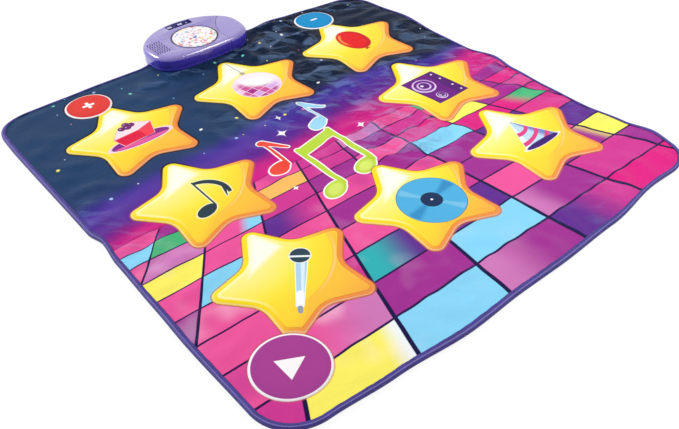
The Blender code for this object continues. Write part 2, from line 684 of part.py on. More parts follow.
def make_screws():
    for number, place in enumerate(CASE_SCREWS, 1):
        bm = screw(CASE_SCREW_LENGTH)
        bmesh.ops.rotate(bm, matrix=Matrix.Rotation(math.pi, 3, "X"), verts=bm.verts)
        centre = on_console(*place)
        add_object(f"case_screw_{number}", bm, METAL, 0.35, 0.9, at=(*centre, BASE_UNDERSIDE - GAP))
    for side, x in (("left", -CLAMP_SCREW_X), ("right", CLAMP_SCREW_X)):
        bm = screw(CLAMP_SCREW_LENGTH)
        add_object("clamp_screw_" + side, bm, METAL, 0.35, 0.9, at=(x, CLAMP_Y, BASE_FLOOR + GAP))


def make_switches():
    """The sunk panel, its two ribbed slide knobs and the switch bodies under it."""
    top = CONSOLE_HEIGHT - PANEL_SINK
    base = top - PANEL_THICKNESS
    centre = on_console(0, panel_centre_y())
    panel = box(PANEL_WIDTH - 2 * GAP, PANEL_DEPTH - 2 * GAP, base, top, centre)
    panel = add_object("switch_panel", panel, (0.03, 0.02, 0.16), 0.4)
    for name, x, travel in (("power", POWER_KNOB_X, POWER_TRAVEL), ("mode", MODE_KNOB_X, MODE_TRAVEL)):
        stem = KNOB_STEM / 2
        slot = box(travel + KNOB_STEM + 2 * GAP, KNOB_STEM + 2 * GAP, base - GAP, top + GAP,
                   (x + travel / 2, centre[1]))
        cut(panel, add_cutter(name + "_slot", slot))
        knob = box(KNOB_LENGTH, KNOB_DEPTH, top + GAP, top + GAP + KNOB_BASE)
        knob = add_object(name + "_knob", knob, (0.45, 0.42, 0.70), 0.4, at=(x, centre[1], 0))
        ribs = bmesh.new()
        pitch = KNOB_LENGTH / KNOB_RIBS
        rib_top = top + GAP + KNOB_BASE + KNOB_RIB_HEIGHT
        for i in range(KNOB_RIBS):
            rib_x = (i - (KNOB_RIBS - 1) / 2) * pitch
            box(pitch / 2, KNOB_DEPTH - 2 * GAP, top + KNOB_BASE / 2, rib_top, (rib_x, 0), ribs)
        join(knob, add_cutter(name + "_ribs", ribs, at=(x, centre[1], 0)))
        stem = box(KNOB_STEM, KNOB_STEM, base, top + GAP + KNOB_BASE / 2)
        join(knob, add_cutter(name + "_stem", stem, at=(x, centre[1], 0)))
        width = travel + KNOB_LENGTH
        body = box(width, SWITCH_BODY_DEPTH, base - GAP - SWITCH_BODY_HEIGHT, base - GAP,
                   (x + travel / 2, centre[1]))
        add_object(name + "_switch_body", body, METAL, 0.3, 0.9)


def make_speaker():
    """A 34 mm driver that faces up at the grille: frame, paper cone and magnet."""
    centre = on_console(*GRILLE_CENTRE)
    top = CASE_CEILING - GAP
    wall = SPEAKER_WALL
    throat = SPEAKER_MAGNET_RADIUS + wall
    rim = SPEAKER_RADIUS - SPEAKER_FLANGE
    bottom = top - SPEAKER_DEPTH
    frame = turned([
        (throat, bottom), (rim, top - 2 * wall), (SPEAKER_RADIUS, top - 2 * wall),
        (SPEAKER_RADIUS, top), (rim, top), (rim - wall, top - wall),
        (throat - wall, bottom + wall), (throat - 3 * wall, bottom + wall), (throat - 3 * wall, bottom),
    ], SPEAKER_STEPS, closed=True)
    add_object("speaker_frame", frame, METAL, 0.4, 0.8, at=(*centre, 0))
    magnet = turned([
        (SPEAKER_MAGNET_RADIUS, bottom - GAP - SPEAKER_MAGNET_HEIGHT),
        (SPEAKER_MAGNET_RADIUS, bottom - GAP),
    ], SPEAKER_STEPS)
    add_object("speaker_magnet", magnet, (0.05, 0.05, 0.05), 0.6, at=(*centre, 0))
    lip = rim - 2 * wall - GAP
    coil = SPEAKER_MAGNET_RADIUS / 2
    cone = turned([
        (coil, bottom + 3 * wall), (lip - wall, top - 2 * wall), (lip, top - 2 * wall),
        (lip, top - 2 * wall + GAP), (lip - wall, top - 2 * wall + GAP), (coil, bottom + 3 * wall + 2 * GAP),
    ], SPEAKER_STEPS)
    add_object("speaker_cone", cone, (0.04, 0.04, 0.04), 0.9, at=(*centre, 0))


def make_board():
    """The circuit board with its potted chip, capacitor and ribbon connector."""
    width, depth, thickness = BOARD_SIZE
    x, y = BOARD_CENTRE
    top = BOARD_HEIGHT + thickness
    board = box(width, depth, BOARD_HEIGHT, top, on_console(x, y))
    add_object("circuit_board", board, (0.03, 0.22, 0.08), 0.4)
    on_board = top + GAP
    chip = turned([
        (CHIP_RADIUS, 0), (CHIP_RADIUS * 0.85, CHIP_HEIGHT * 0.6), (CHIP_RADIUS * 0.4, CHIP_HEIGHT),
    ])
    add_object("sound_chip", chip, (0.01, 0.01, 0.01), 0.3, at=(*on_console(x, y), on_board))
    capacitor = cylinder(CAPACITOR_RADIUS, 0, CAPACITOR_HEIGHT)
    capacitor_at = on_console(x + width / 2 - 4 * CAPACITOR_RADIUS, y + depth / 4)
    add_object("capacitor", capacitor, (0.05, 0.06, 0.15), 0.4, at=(*capacitor_at, on_board))
    c_width, c_depth, c_height = CONNECTOR_SIZE
    front = y - depth / 2
    connector = box(c_width, c_depth, on_board, on_board + c_height, on_console(x, front + c_depth / 2))
    add_object("ribbon_connector", connector, (0.85, 0.83, 0.75), 0.4)

    # The ribbon lies on the film in its slot, rises through the tray and turns back to the connector.
    slot_y = front - RIBBON_FROM_BOARD
    entry = on_board + c_height / 2
    low = UPPER_FILM_TOP + GAP + RIBBON_THICKNESS / 2
    bend = (RIBBON_FROM_BOARD - GAP) / 2
    run = [(slot_y - RIBBON_SLOT_DEPTH / 2 + GAP + RIBBON_THICKNESS, low)]
    for i in range(5):
        t = i / 4 * math.pi / 2
        foot = RIBBON_SLOT_DEPTH / 4
        run.append((slot_y - foot + foot * math.sin(t), low + foot * (1 - math.cos(t))))
    for i in range(7):
        t = i / 6 * math.pi / 2
        run.append((slot_y + bend * (1 - math.cos(t)), entry - bend + bend * math.sin(t)))
    run.append((front - GAP, entry))
    add_object("ribbon_tail", strip(run, RIBBON_WIDTH, RIBBON_THICKNESS, x), (0.8, 0.8, 0.82), 0.4)
    return on_console(x, slot_y)


def strip(run, width, thickness, x):
    """A flat band of the given width that follows (y, z) points on the console."""
    points = [Vector((CONSOLE_Y + y, z)) for y, z in run]
    rings = []
    for i, point in enumerate(points):
        ahead = points[min(i + 1, len(points) - 1)] - points[max(i - 1, 0)]
        across = Vector((-ahead.y, ahead.x)).normalized() * thickness / 2
        low, high = point - across, point + across
        rings.append([
            (x - width / 2, low.x, low.y), (x + width / 2, low.x, low.y),
            (x + width / 2, high.x, high.y), (x - width / 2, high.x, high.y),
        ])
    return loft(rings)


def tube(name, points, radius, colour):
    """A wire along the points, with closed ends."""
    curve = bpy.data.curves.new(name, "CURVE")
    curve.dimensions = "3D"
    curve.bevel_depth = radius
    curve.bevel_resolution = 0
    curve.use_fill_caps = True
    spline = curve.splines.new("POLY")
    spline.points.add(len(points) - 1)
    for spot, point in zip(spline.points, points):
        spot.co = (*point, 1)
    curve.materials.append(new_material(name, colour, 0.4, 0.0))
    made = bpy.data.objects.new(name, curve)
    bpy.context.scene.collection.objects.link(made)


def make_batteries():
    """Three AA cells head to tail, a coil spring at each flat end and a strip at each end of the bay."""
    height = BASE_FLOOR + GAP + BATTERY_RADIUS
    half = bay_half_length()
    for i in range(3):
        x = BATTERY_MIDDLE_X + (i - 1) * BATTERY_PITCH
        facing = 1 if i % 2 == 0 else -1
        nub_tip = half - GAP
        flat_end = nub_tip - BATTERY_NUB_LENGTH - BATTERY_LENGTH
        edge = BATTERY_RADIUS / 8
        shoulder = nub_tip - BATTERY_NUB_LENGTH
        cell = along_y(turned([
            (BATTERY_RADIUS - edge, flat_end), (BATTERY_RADIUS, flat_end + edge),
            (BATTERY_RADIUS, shoulder - edge), (BATTERY_RADIUS - edge, shoulder),
            (BATTERY_NUB_RADIUS, shoulder), (BATTERY_NUB_RADIUS, nub_tip),
        ], BATTERY_STEPS))
        if facing < 0:
            bmesh.ops.rotate(cell, matrix=Matrix.Rotation(math.pi, 3, "Z"), verts=cell.verts)
        add_object(f"battery_{i + 1}", cell, (0.05, 0.05, 0.06), 0.3, 0.3, at=(*on_console(x, 0), height))
        start = -half + GAP + SPRING_WIRE
        end = flat_end - GAP - SPRING_WIRE
        steps = SPRING_STEPS * SPRING_TURNS
        coil = []
        for k in range(steps + 1):
            t = 2 * math.pi * SPRING_TURNS * k / steps
            y = facing * (start + (end - start) * k / steps)
            across, up = SPRING_RADIUS * math.cos(t), SPRING_RADIUS * math.sin(t)
            coil.append((x + across, CONSOLE_Y + y, height + up))
        tube(f"battery_spring_{i + 1}", coil, SPRING_WIRE / 2, METAL)
    for side, y in (("front", -half - STRIP_THICKNESS / 2), ("back", half + STRIP_THICKNESS / 2)):
        width = 3 * BATTERY_PITCH - 2 * GAP
        plate = box(width, STRIP_THICKNESS, BASE_FLOOR + GAP, BASE_FLOOR + GAP + STRIP_HEIGHT,
                    on_console(BATTERY_MIDDLE_X, y))
        add_object("contact_strip_" + side, plate, METAL, 0.3, 0.9)


def cut_ribbon_slot(sheet, base, centre):
    low, high = UPPER_FILM_TOP + GAP / 2, BASE_FLOOR + GAP
    slot = box(RIBBON_WIDTH + 4 * GAP, RIBBON_SLOT_DEPTH, low, high, centre)
    slot = add_cutter("ribbon_slot", slot)
    cut(sheet, slot)
    cut(base, slot)


def main():
    clear_scene()
    top_sheet = make_mat(make_pads())
    make_top_case()
    base = make_bottom_case()
    make_battery_cover()
    make_screws()
    make_switches()
    make_speaker()
    slot_centre = make_board()
    cut_ribbon_slot(top_sheet, base, slot_centre)
    make_batteries()


main()
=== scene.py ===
"""Electronic dance mat: the looks of a sewn play mat with eight star pads, three round pads and a
plastic sound console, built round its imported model.

Metres, +Z up. The player stands at -Y and faces the console at +Y. The origin is on the floor.
"""
import math

import bmesh
import bpy
import numpy as np
from mathutils import Matrix, Vector
from mathutils.geometry import delaunay_2d_cdt
from mathutils.kdtree import KDTree


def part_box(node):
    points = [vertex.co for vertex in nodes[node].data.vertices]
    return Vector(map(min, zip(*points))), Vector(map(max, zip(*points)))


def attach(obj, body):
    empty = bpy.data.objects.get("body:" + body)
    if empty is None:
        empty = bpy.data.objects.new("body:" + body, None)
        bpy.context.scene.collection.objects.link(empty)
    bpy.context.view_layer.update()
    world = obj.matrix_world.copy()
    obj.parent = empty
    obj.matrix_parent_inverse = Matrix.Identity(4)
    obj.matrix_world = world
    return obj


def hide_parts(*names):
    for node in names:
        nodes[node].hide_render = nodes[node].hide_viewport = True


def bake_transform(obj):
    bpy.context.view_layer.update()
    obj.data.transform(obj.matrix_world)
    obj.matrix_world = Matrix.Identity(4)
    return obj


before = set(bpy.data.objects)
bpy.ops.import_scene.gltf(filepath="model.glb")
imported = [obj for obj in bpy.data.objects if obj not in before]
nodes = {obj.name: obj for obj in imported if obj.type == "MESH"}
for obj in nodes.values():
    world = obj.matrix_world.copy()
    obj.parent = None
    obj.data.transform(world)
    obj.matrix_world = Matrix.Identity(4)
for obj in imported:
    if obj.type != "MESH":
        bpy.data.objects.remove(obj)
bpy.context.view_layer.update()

# Camera
# A 41 mm lens on a full-size sensor, held 0.8 m above the floor at the mat's front left corner and
# looking down across it at the console.
CAMERA_PLACE = (-0.72085, -0.96396, 0.80622)
CAMERA_TURNS = (50.151, 1.205, -39.594)
LENS_LENGTH, SENSOR_WIDTH = 41.35, 36.0


def put(name, data):
    """An object in the scene with the given mesh, lens or lamp."""
    made = bpy.data.objects.new(name, data)
    bpy.context.scene.collection.objects.link(made)
    return made


lens = bpy.data.cameras.new("camera")
lens.lens = LENS_LENGTH
lens.sensor_width = SENSOR_WIDTH
camera = put("camera", lens)
camera.location = CAMERA_PLACE
camera.rotation_euler = [math.radians(turn) for turn in CAMERA_TURNS]
bpy.context.scene.camera = camera
bpy.context.scene.view_settings.view_transform = "Standard"

# Studio
# A white floor under a plain white sky, with one broad soft lamp high at the back left, whose
# light glides over the cloth, and a smaller one in front on the right, for the console's edge.
FLOOR_SIZE = 12.0
FLOOR_DROP = 0.0004
SKY_LIGHT = 0.31
FLOOR_GLOW = 1.08
FLOOR_SHADOW_SHARE = 0.22  # how much of the floor's own shading the camera sees
LAMPS = {
    "window_lamp": {"at": (-2.4, 3.0, 2.55), "size": 1.8, "power": 142.0},
    "front_lamp": {"at": (0.95, -0.64, 1.75), "size": 0.85, "power": 23.0},
}


def ink(red, green, blue):
    """A colour as it looks, each part out of 255, turned into the shader's linear light."""
    parts = [part / 255 for part in (red, green, blue)]
    return tuple(p / 12.92 if p <= 0.04045 else ((p + 0.055) / 1.055) ** 2.4 for p in parts)


def new_material(name):
    """A material with a Principled BSDF, and that shader."""
    made = bpy.data.materials.new(name)
    made.use_nodes = True
    return made, made.node_tree.nodes["Principled BSDF"]


def feed(node, inputs):
    """Joins a node's inputs to fields or to other nodes' outputs, or sets them to plain values."""
    for name, value in inputs.items():
        slot = node.inputs[name]
        value = getattr(value, "socket", value)
        if isinstance(value, bpy.types.NodeSocket):
            node.id_data.links.new(value, slot)
        elif slot.type == "RGBA":
            slot.default_value = (*value, 1.0)
        else:
            slot.default_value = value
    return node


def add_node(tree, kind, inputs=None, **settings):
    node = tree.nodes.new(kind)
    for key, value in settings.items():
        setattr(node, key, value)
    return feed(node, inputs or {})


class Field:
    """A number that changes from place to place. Sums and products of fields become nodes."""

    def __init__(self, socket):
        self.socket = socket

    def __add__(self, other):
        return figure("ADD", self, other)

    def __sub__(self, other):
        return figure("SUBTRACT", self, other)

    def __rsub__(self, other):
        return figure("SUBTRACT", other, self)

    def __mul__(self, other):
        return figure("MULTIPLY", self, other)

    def __truediv__(self, other):
        return figure("DIVIDE", self, other)

    def __abs__(self):
        return figure("ABSOLUTE", self)

    __radd__, __rmul__ = __add__, __mul__


def figure(operation, *values):
    """One Math node on fields and plain numbers."""
    tree = next(v for v in values if isinstance(v, Field)).socket.id_data
    node = add_node(tree, "ShaderNodeMath", dict(enumerate(values)), operation=operation)
    return Field(node.outputs[0])


def least(first, *others):
    """The smallest field at each place: both shapes together, where the fields are distances."""
    for other in others:
        first = figure("MINIMUM", first, other)
    return first


def most(first, *others):
    """The largest field at each place: only what the shapes share."""
    for other in others:
        first = figure("MAXIMUM", first, other)
    return first


def new_piece(name, points, faces, material):
    """A mesh object at the origin, shaded smooth."""
    mesh = bpy.data.meshes.new(name)
    mesh.from_pydata([tuple(map(float, p)) for p in points], [], [tuple(map(int, f)) for f in faces])
    mesh.shade_smooth()
    mesh.materials.append(material)
    return put(name, mesh)


def seen_directly(tree):
    """1 for what the camera sees, also in a gloss or through a clear piece, and 0 for light."""
    rays = add_node(tree, "ShaderNodeLightPath").outputs
    return most(*(Field(rays[f"Is {kind} Ray"]) for kind in ("Camera", "Glossy", "Transmission")))


world = bpy.data.worlds.new("white_studio")
bpy.context.scene.world = world
world.use_nodes = True
sky_tree = world.node_tree
sky_strength = add_node(sky_tree, "ShaderNodeMapRange", {
    "Value": seen_directly(sky_tree), "To Min": SKY_LIGHT, "To Max": 1.0})
feed(sky_tree.nodes["Background"], {"Color": (1.0, 1.0, 1.0), "Strength": sky_strength.outputs["Result"]})

floor_material, floor_shader = new_material("floor_paper")
feed(floor_shader, {"Base Color": ink(246, 246, 246), "Roughness": 0.9})
floor_tree = floor_material.node_tree
glow = add_node(floor_tree, "ShaderNodeEmission", {"Strength": FLOOR_GLOW})
floor_mix = add_node(floor_tree, "ShaderNodeMixShader", {
    0: seen_directly(floor_tree) * (1 - FLOOR_SHADOW_SHARE), 1: floor_shader.outputs[0],
    2: glow.outputs[0]})
feed(floor_tree.nodes["Material Output"], {"Surface": floor_mix.outputs[0]})
half = FLOOR_SIZE / 2
floor_corners = [(sx * half, sy * half, -FLOOR_DROP) for sx, sy in ((-1, -1), (1, -1), (1, 1), (-1, 1))]
floor = new_piece("floor", floor_corners, [(0, 1, 2, 3)], floor_material)

for lamp_name, facts in LAMPS.items():
    lamp_data = bpy.data.lights.new(lamp_name, "AREA")
    lamp_data.size = facts["size"]
    lamp_data.energy = facts["power"]
    lamp = put(lamp_name, lamp_data)
    lamp.location = facts["at"]
    lamp.rotation_euler = (-Vector(facts["at"])).to_track_quat("-Z", "Y").to_euler()

# How the mat lies
# The mat is a limp stack of cloth, film and foam, so its long edges wander and lift off the floor
# in a few places. Every layer and the tape round them follow the same drift.
MAT_LOW, MAT_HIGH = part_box("edge_binding")
MAT_WIDTH = MAT_HIGH.x - MAT_LOW.x
MAT_DEPTH = MAT_HIGH.y - MAT_LOW.y
MAT_Y = (MAT_LOW.y + MAT_HIGH.y) / 2
MAT_CORNER_RADIUS = 0.075
SHEET_LOW, SHEET_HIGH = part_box("printed_top_sheet")
SHEET_TOP = SHEET_HIGH.z
# How each edge wanders: places along it, and there how far out it goes and how far it lifts.
LEFT_WANDER = ((-0.45, 0.0, 0.0), (-0.29, 0.003, 0.0008), (-0.2, 0.001, 0.0), (-0.08, -0.001, 0.0),
               (-0.026, -0.0058, 0.0015), (0.012, 0.0015, 0.0), (0.3, 0.004, 0.001), (0.37, 0.002, 0.0))
RIGHT_WANDER = ((-0.45, 0.0, 0.0), (-0.407, 0.006, 0.002), (-0.35, -0.004, 0.0), (-0.27, -0.0145, 0.0006),
                (-0.18, -0.011, 0.0), (-0.09, -0.005, 0.0), (-0.033, 0.0022, 0.0026), (0.035, -0.0115, 0.0),
                (0.13, -0.0125, 0.001), (0.232, -0.0035, 0.0015), (0.32, -0.011, 0.0), (0.4, -0.011, 0.0))
FRONT_WANDER = ((-0.38, -0.005, 0.0), (-0.27, 0.002, 0.0), (-0.14, 0.012, 0.001), (-0.03, 0.0072, 0.0),
                (0.05, 0.0078, 0.0006), (0.19, 0.0025, 0.0), (0.33, -0.013, 0.0018), (0.42, -0.012, 0.0))
BACK_WANDER = ((-0.4, -0.013, 0.0), (-0.31, -0.012, 0.0008), (-0.23, -0.0075, 0.0),
               (-0.14, -0.009, 0.0006), (-0.1, 0.0, 0.0), (0.1, 0.0, 0.0), (0.135, -0.012, 0.0),
               (0.19, -0.0062, 0.0012), (0.25, -0.0135, 0.0008), (0.32, -0.016, 0.0),
               (0.42, -0.012, 0.001))
WANDER_REACH = {"left": 0.06, "right": 0.1, "front": 0.09, "back": 0.055}
CORNER_PULL = (-0.009, -0.022)  # the crumpled back right corner is drawn in
CORNER_REACH = 0.11


def wander(along, knots, part):
    """A smooth curve through the knots' values at places along an edge."""
    share = np.interp(along, [knot[0] for knot in knots], range(len(knots)))
    number = np.minimum(share.astype(int), len(knots) - 2)
    step = share - number
    values = np.array([knot[part] for knot in knots])
    return values[number] + (values[number + 1] - values[number]) * step * step * (3 - 2 * step)


def drift(x, y):
    """How the stack moves at flat places x and y: two shifts in the plan and a lift."""
    sides = (
        (MAT_WIDTH / 2 + x, y, LEFT_WANDER, "left", (-1, 0)),
        (MAT_WIDTH / 2 - x, y, RIGHT_WANDER, "right", (1, 0)),
        (MAT_DEPTH / 2 + (y - MAT_Y), x, FRONT_WANDER, "front", (0, -1)),
        (MAT_DEPTH / 2 - (y - MAT_Y), x, BACK_WANDER, "back", (0, 1)),
    )
    moved = np.zeros((len(x), 3))
    for inward, along, knots, side, (out_x, out_y) in sides:
        share = np.clip(1 - inward / WANDER_REACH[side], 0, 1) ** 2
        out = share * wander(along, knots, 1)
        moved[:, 0] += out_x * out
        moved[:, 1] += out_y * out
        moved[:, 2] += share * wander(along, knots, 2)
    to_corner = np.hypot(x - MAT_HIGH.x, y - MAT_HIGH.y)
    moved[:, :2] += np.exp(-(to_corner / CORNER_REACH) ** 2)[:, None] * CORNER_PULL
    return moved


def mat_outline(inset, step):
    """The mat's rounded outline as flat points, moved in all round, every step apart or closer."""
    radius = MAT_CORNER_RADIUS - inset
    turns = math.ceil(radius * math.pi / 2 / step)
    arcs = []
    for quarter, (sx, sy) in enumerate(((1, 1), (-1, 1), (-1, -1), (1, -1))):
        cx = sx * (MAT_WIDTH / 2 - MAT_CORNER_RADIUS)
        cy = MAT_Y + sy * (MAT_DEPTH / 2 - MAT_CORNER_RADIUS)
        angles = [(quarter + i / turns) * math.pi / 2 for i in range(turns + 1)]
        arcs.append([(cx + radius * math.cos(t), cy + radius * math.sin(t)) for t in angles])
    points = []
    for arc, following in zip(arcs, arcs[1:] + arcs[:1]):
        (x, y), (far_x, far_y) = arc[-1], following[0]
        count = math.ceil(math.dist(arc[-1], following[0]) / step)
        points += arc
        points += [(x + i / count * (far_x - x), y + i / count * (far_y - y)) for i in range(1, count)]
    return np.array(points)


def mat_depth(points):
    """How far flat points lie inside the mat's outline."""
    straight = (MAT_WIDTH / 2 - MAT_CORNER_RADIUS, MAT_DEPTH / 2 - MAT_CORNER_RADIUS)
    over = np.abs(points - (0, MAT_Y)) - straight
    outside = np.hypot(*np.clip(over, 0, None).T)
    return MAT_CORNER_RADIUS - outside - np.clip(over.max(1), None, 0)


# The pads' outlines
# Eight rounded stars and three round pads are printed on the top sheet, each over a switch. A round
# pad covers the point of the star beside it.
STAR_POINT_RADIUS = 0.139
STAR_NOTCH_RADIUS = 0.0775
STAR_POINT_ROUNDING = 0.0165
STAR_NOTCH_ROUNDING = 0.04
OUTLINE_STEP = 0.0032
NEAR_PAD = 0.03  # beyond this a point counts as far outside a pad
STAR_NAMES = ("cake", "mirror_ball", "balloon", "note", "loudspeaker", "microphone", "record", "party_hat")
ROUND_NAMES = ("volume_up", "volume_down", "start")


def middle_of(node):
    low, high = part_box(node)
    return np.array(((low.x + high.x) / 2, (low.y + high.y) / 2))


def spaced(points, step):
    """A closed outline with points added so that none lie further apart than the step."""
    out = []
    for here, there in zip(points, np.roll(points, -1, axis=0)):
        count = max(1, math.ceil(math.dist(here, there) / step))
        out += [here + (there - here) * i / count for i in range(count)]
    return np.array(out)


def star_outline():
    """A five-pointed star about the origin, its points and notches rounded with arcs."""
    corners = []
    for k in range(10):
        reach = STAR_NOTCH_RADIUS if k % 2 else STAR_POINT_RADIUS
        turn = math.pi / 2 + k * math.pi / 5
        corners.append(Vector((reach * math.cos(turn), reach * math.sin(turn))))
    points = []
    for k, here in enumerate(corners):
        rounding = STAR_NOTCH_ROUNDING if k % 2 else STAR_POINT_ROUNDING
        back = (corners[k - 1] - here).normalized()
        on = (corners[(k + 1) % 10] - here).normalized()
        half_angle = back.angle(on) / 2
        centre = here + (back + on).normalized() * rounding / math.sin(half_angle)
        start = here + back * rounding / math.tan(half_angle) - centre
        end = here + on * rounding / math.tan(half_angle) - centre
        sweep = start.angle_signed(end)
        steps = max(4, math.ceil(abs(sweep) * rounding / OUTLINE_STEP))
        points += [centre + Matrix.Rotation(-sweep * i / steps, 2) @ start for i in range(steps + 1)]
    return spaced(np.array([tuple(p) for p in points]), OUTLINE_STEP)


def round_outline(radius):
    turns = np.linspace(0, 2 * math.pi, math.ceil(2 * math.pi * radius / OUTLINE_STEP), endpoint=False)
    return radius * np.stack([np.cos(turns), np.sin(turns)], 1)


def depth_in(points, outline):
    """How far points lie inside a closed outline, negative outside."""
    step = np.roll(outline, -1, axis=0) - outline
    to = points[:, None, :] - outline
    share = np.clip((to * step).sum(-1) / (step * step).sum(-1), 0, 1)
    gap = np.linalg.norm(to - share[..., None] * step, axis=-1).min(1)
    above = (to[..., 1] > 0) != (to[..., 1] - step[:, 1] > 0)
    rise = np.where(step[:, 1] == 0, 1e-12, step[:, 1])
    crossed = above & (to[..., 0] < step[:, 0] * to[..., 1] / rise)
    return np.where(crossed.sum(1) % 2 == 1, gap, -gap)


PADS = {}
for pad_name in STAR_NAMES:
    PADS[pad_name] = {"middle": middle_of("contact_" + pad_name), "shape": star_outline(),
                      "node": "star_pad_" + pad_name, "body": pad_name + "_pad"}
for pad_name in ROUND_NAMES:
    pad_low, pad_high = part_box(pad_name + "_pad")
    PADS[pad_name] = {"middle": middle_of("contact_" + pad_name), "node": pad_name + "_pad",
                      "shape": round_outline((pad_high.x - pad_low.x) / 2), "body": pad_name}
for facts in PADS.values():
    facts["outline"] = facts["shape"] + facts["middle"]
    facts["reach"] = np.hypot(*facts["shape"].T).max()


def pad_depth(name, points):
    """How far points lie inside one pad, and far outside for those well away from it."""
    facts = PADS[name]
    out = np.full(len(points), -1.0)
    near = np.hypot(*(points - facts["middle"]).T) < facts["reach"] + NEAR_PAD
    if near.any():
        out[near] = depth_in(points[near], facts["outline"])
    return out


def pads_depth(points):
    """The depth in whichever pad each point lies in, and that pad's number, or -1 outside them all.

    The round pads come last and win over the stars whose points they cover."""
    depth = np.full(len(points), -1.0)
    number = np.full(len(points), -1)
    for i, name in enumerate(PADS):
        here = pad_depth(name, points)
        closer = np.maximum(depth, here)
        if name in ROUND_NAMES:
            closer = np.where(number >= 0, np.minimum(depth, -here), closer)
            closer = np.where(here > 0, here, closer)
        depth = closer
        number = np.where(here > 0, i, number)
    return depth, number


# Slack in the top sheet
# The printed cloth is a little larger than the foam under it, so it buckles where nothing holds it:
# beside the console, in the middle on the right, and along the edges. A cloth solver on a square
# grid finds the folds: it keeps each thread's length, resists bending, and rests on the foam.
CELL = 0.006
SETTLING_STEPS = 230
BENDING = 0.0035  # stiffness against folding, in the grid's own units
SINKING = 3e-7  # fall in a step, from the cloth's small weight
STRETCH_HOLD = 0.9  # share of a thread's error mended in a step
SHEAR_HOLD = 0.3
DAMPING = 0.9
PAD_HOLD = 0.97
# Where the cloth is too large: place, reach each way, and the extra length across and along the mat.
SLACK_PLACES = (
    ((0.2, 0.36), (0.16, 0.06), 0.022, 0.05),
    ((0.15, 0.29), (0.09, 0.09), 0.026, 0.04),
    ((0.15, 0.08), (0.13, 0.12), 0.034, 0.022),
    ((0.34, 0.06), (0.07, 0.11), 0.014, 0.02),
    ((0.14, -0.12), (0.1, 0.085), 0.032, 0.024),
    ((-0.05, 0.12), (0.1, 0.06), 0.012, 0.004),
    ((0.02, 0.345), (0.2, 0.022), 0.004, 0.014),
    ((0.42, -0.05), (0.05, 0.28), 0.002, 0.022),
    ((-0.41, -0.05), (0.05, 0.2), 0.000, 0.012),
    ((0.1, -0.46), (0.3, 0.05), 0.007, 0.000),
)
SLACK_EVERYWHERE = 0.0035
SLACK_LUMPS, SLACK_LUMP_SIZE = 0.5, 0.07  # how unevenly the extra length is spread
MOST_SLACK = 0.07
HOLD_FADE = 0.008  # over how far a seam's hold fades
PAD_HOLD_REACH = 0.01  # how far outside its seam a pad holds the cloth
EDGE_HOLD, EDGE_HOLD_REACH = 0.5, 0.012
CASE_HOLD_INSETS = (0.012, 0.006)  # the console holds the cloth that lies this far inside its plan
START_HEIGHT = 0.001
START_LUMPS = ((0.045, 1), (0.025, 2))  # size and seed of the first unevenness
START_LUMP_HEIGHT = 0.0005
PULL_BACK = 0.25  # share of a held point's shift that is taken back in a step
LID_TRAVEL = 0.02
LID_ROOM = 0.0012
LID_SLOPE = 0.5  # how fast folds may rise again beside the lid's way

columns = round(MAT_WIDTH / CELL) + 1
rows = round(MAT_DEPTH / CELL) + 1
grid_x = np.linspace(-MAT_WIDTH / 2, MAT_WIDTH / 2, columns)
grid_y = np.linspace(MAT_Y - MAT_DEPTH / 2, MAT_Y + MAT_DEPTH / 2, rows)
X, Y = np.meshgrid(grid_x, grid_y)
cell_x, cell_y = grid_x[1] - grid_x[0], grid_y[1] - grid_y[0]


def ripples(size, seed):
    """Smooth random heights over the mat, about one hill or hollow in each size."""
    draw = np.random.default_rng(seed)
    hills = draw.normal(size=(int(MAT_DEPTH / size) + 4, int(MAT_WIDTH / size) + 4))
    u, v = (X - grid_x[0]) / size, (Y - grid_y[0]) / size
    i, j = u.astype(int), v.astype(int)
    fu, fv = u - i, v - j
    fu, fv = fu * fu * (3 - 2 * fu), fv * fv * (3 - 2 * fv)
    low = hills[j, i] * (1 - fu) + hills[j, i + 1] * fu
    high = hills[j + 1, i] * (1 - fu) + hills[j + 1, i + 1] * fu
    return low * (1 - fv) + high * fv


def bending(z):
    """The grid's curvature of its curvature, which pulls folds out again."""
    for _ in range(2):
        e = np.pad(z, 1, mode="edge")
        sides = e[1:-1, 2:] + e[1:-1, :-2] + e[2:, 1:-1] + e[:-2, 1:-1]
        corners = e[2:, 2:] + e[2:, :-2] + e[:-2, 2:] + e[:-2, :-2]
        z = (4 * sides + corners - 20 * z) / 6
    return z


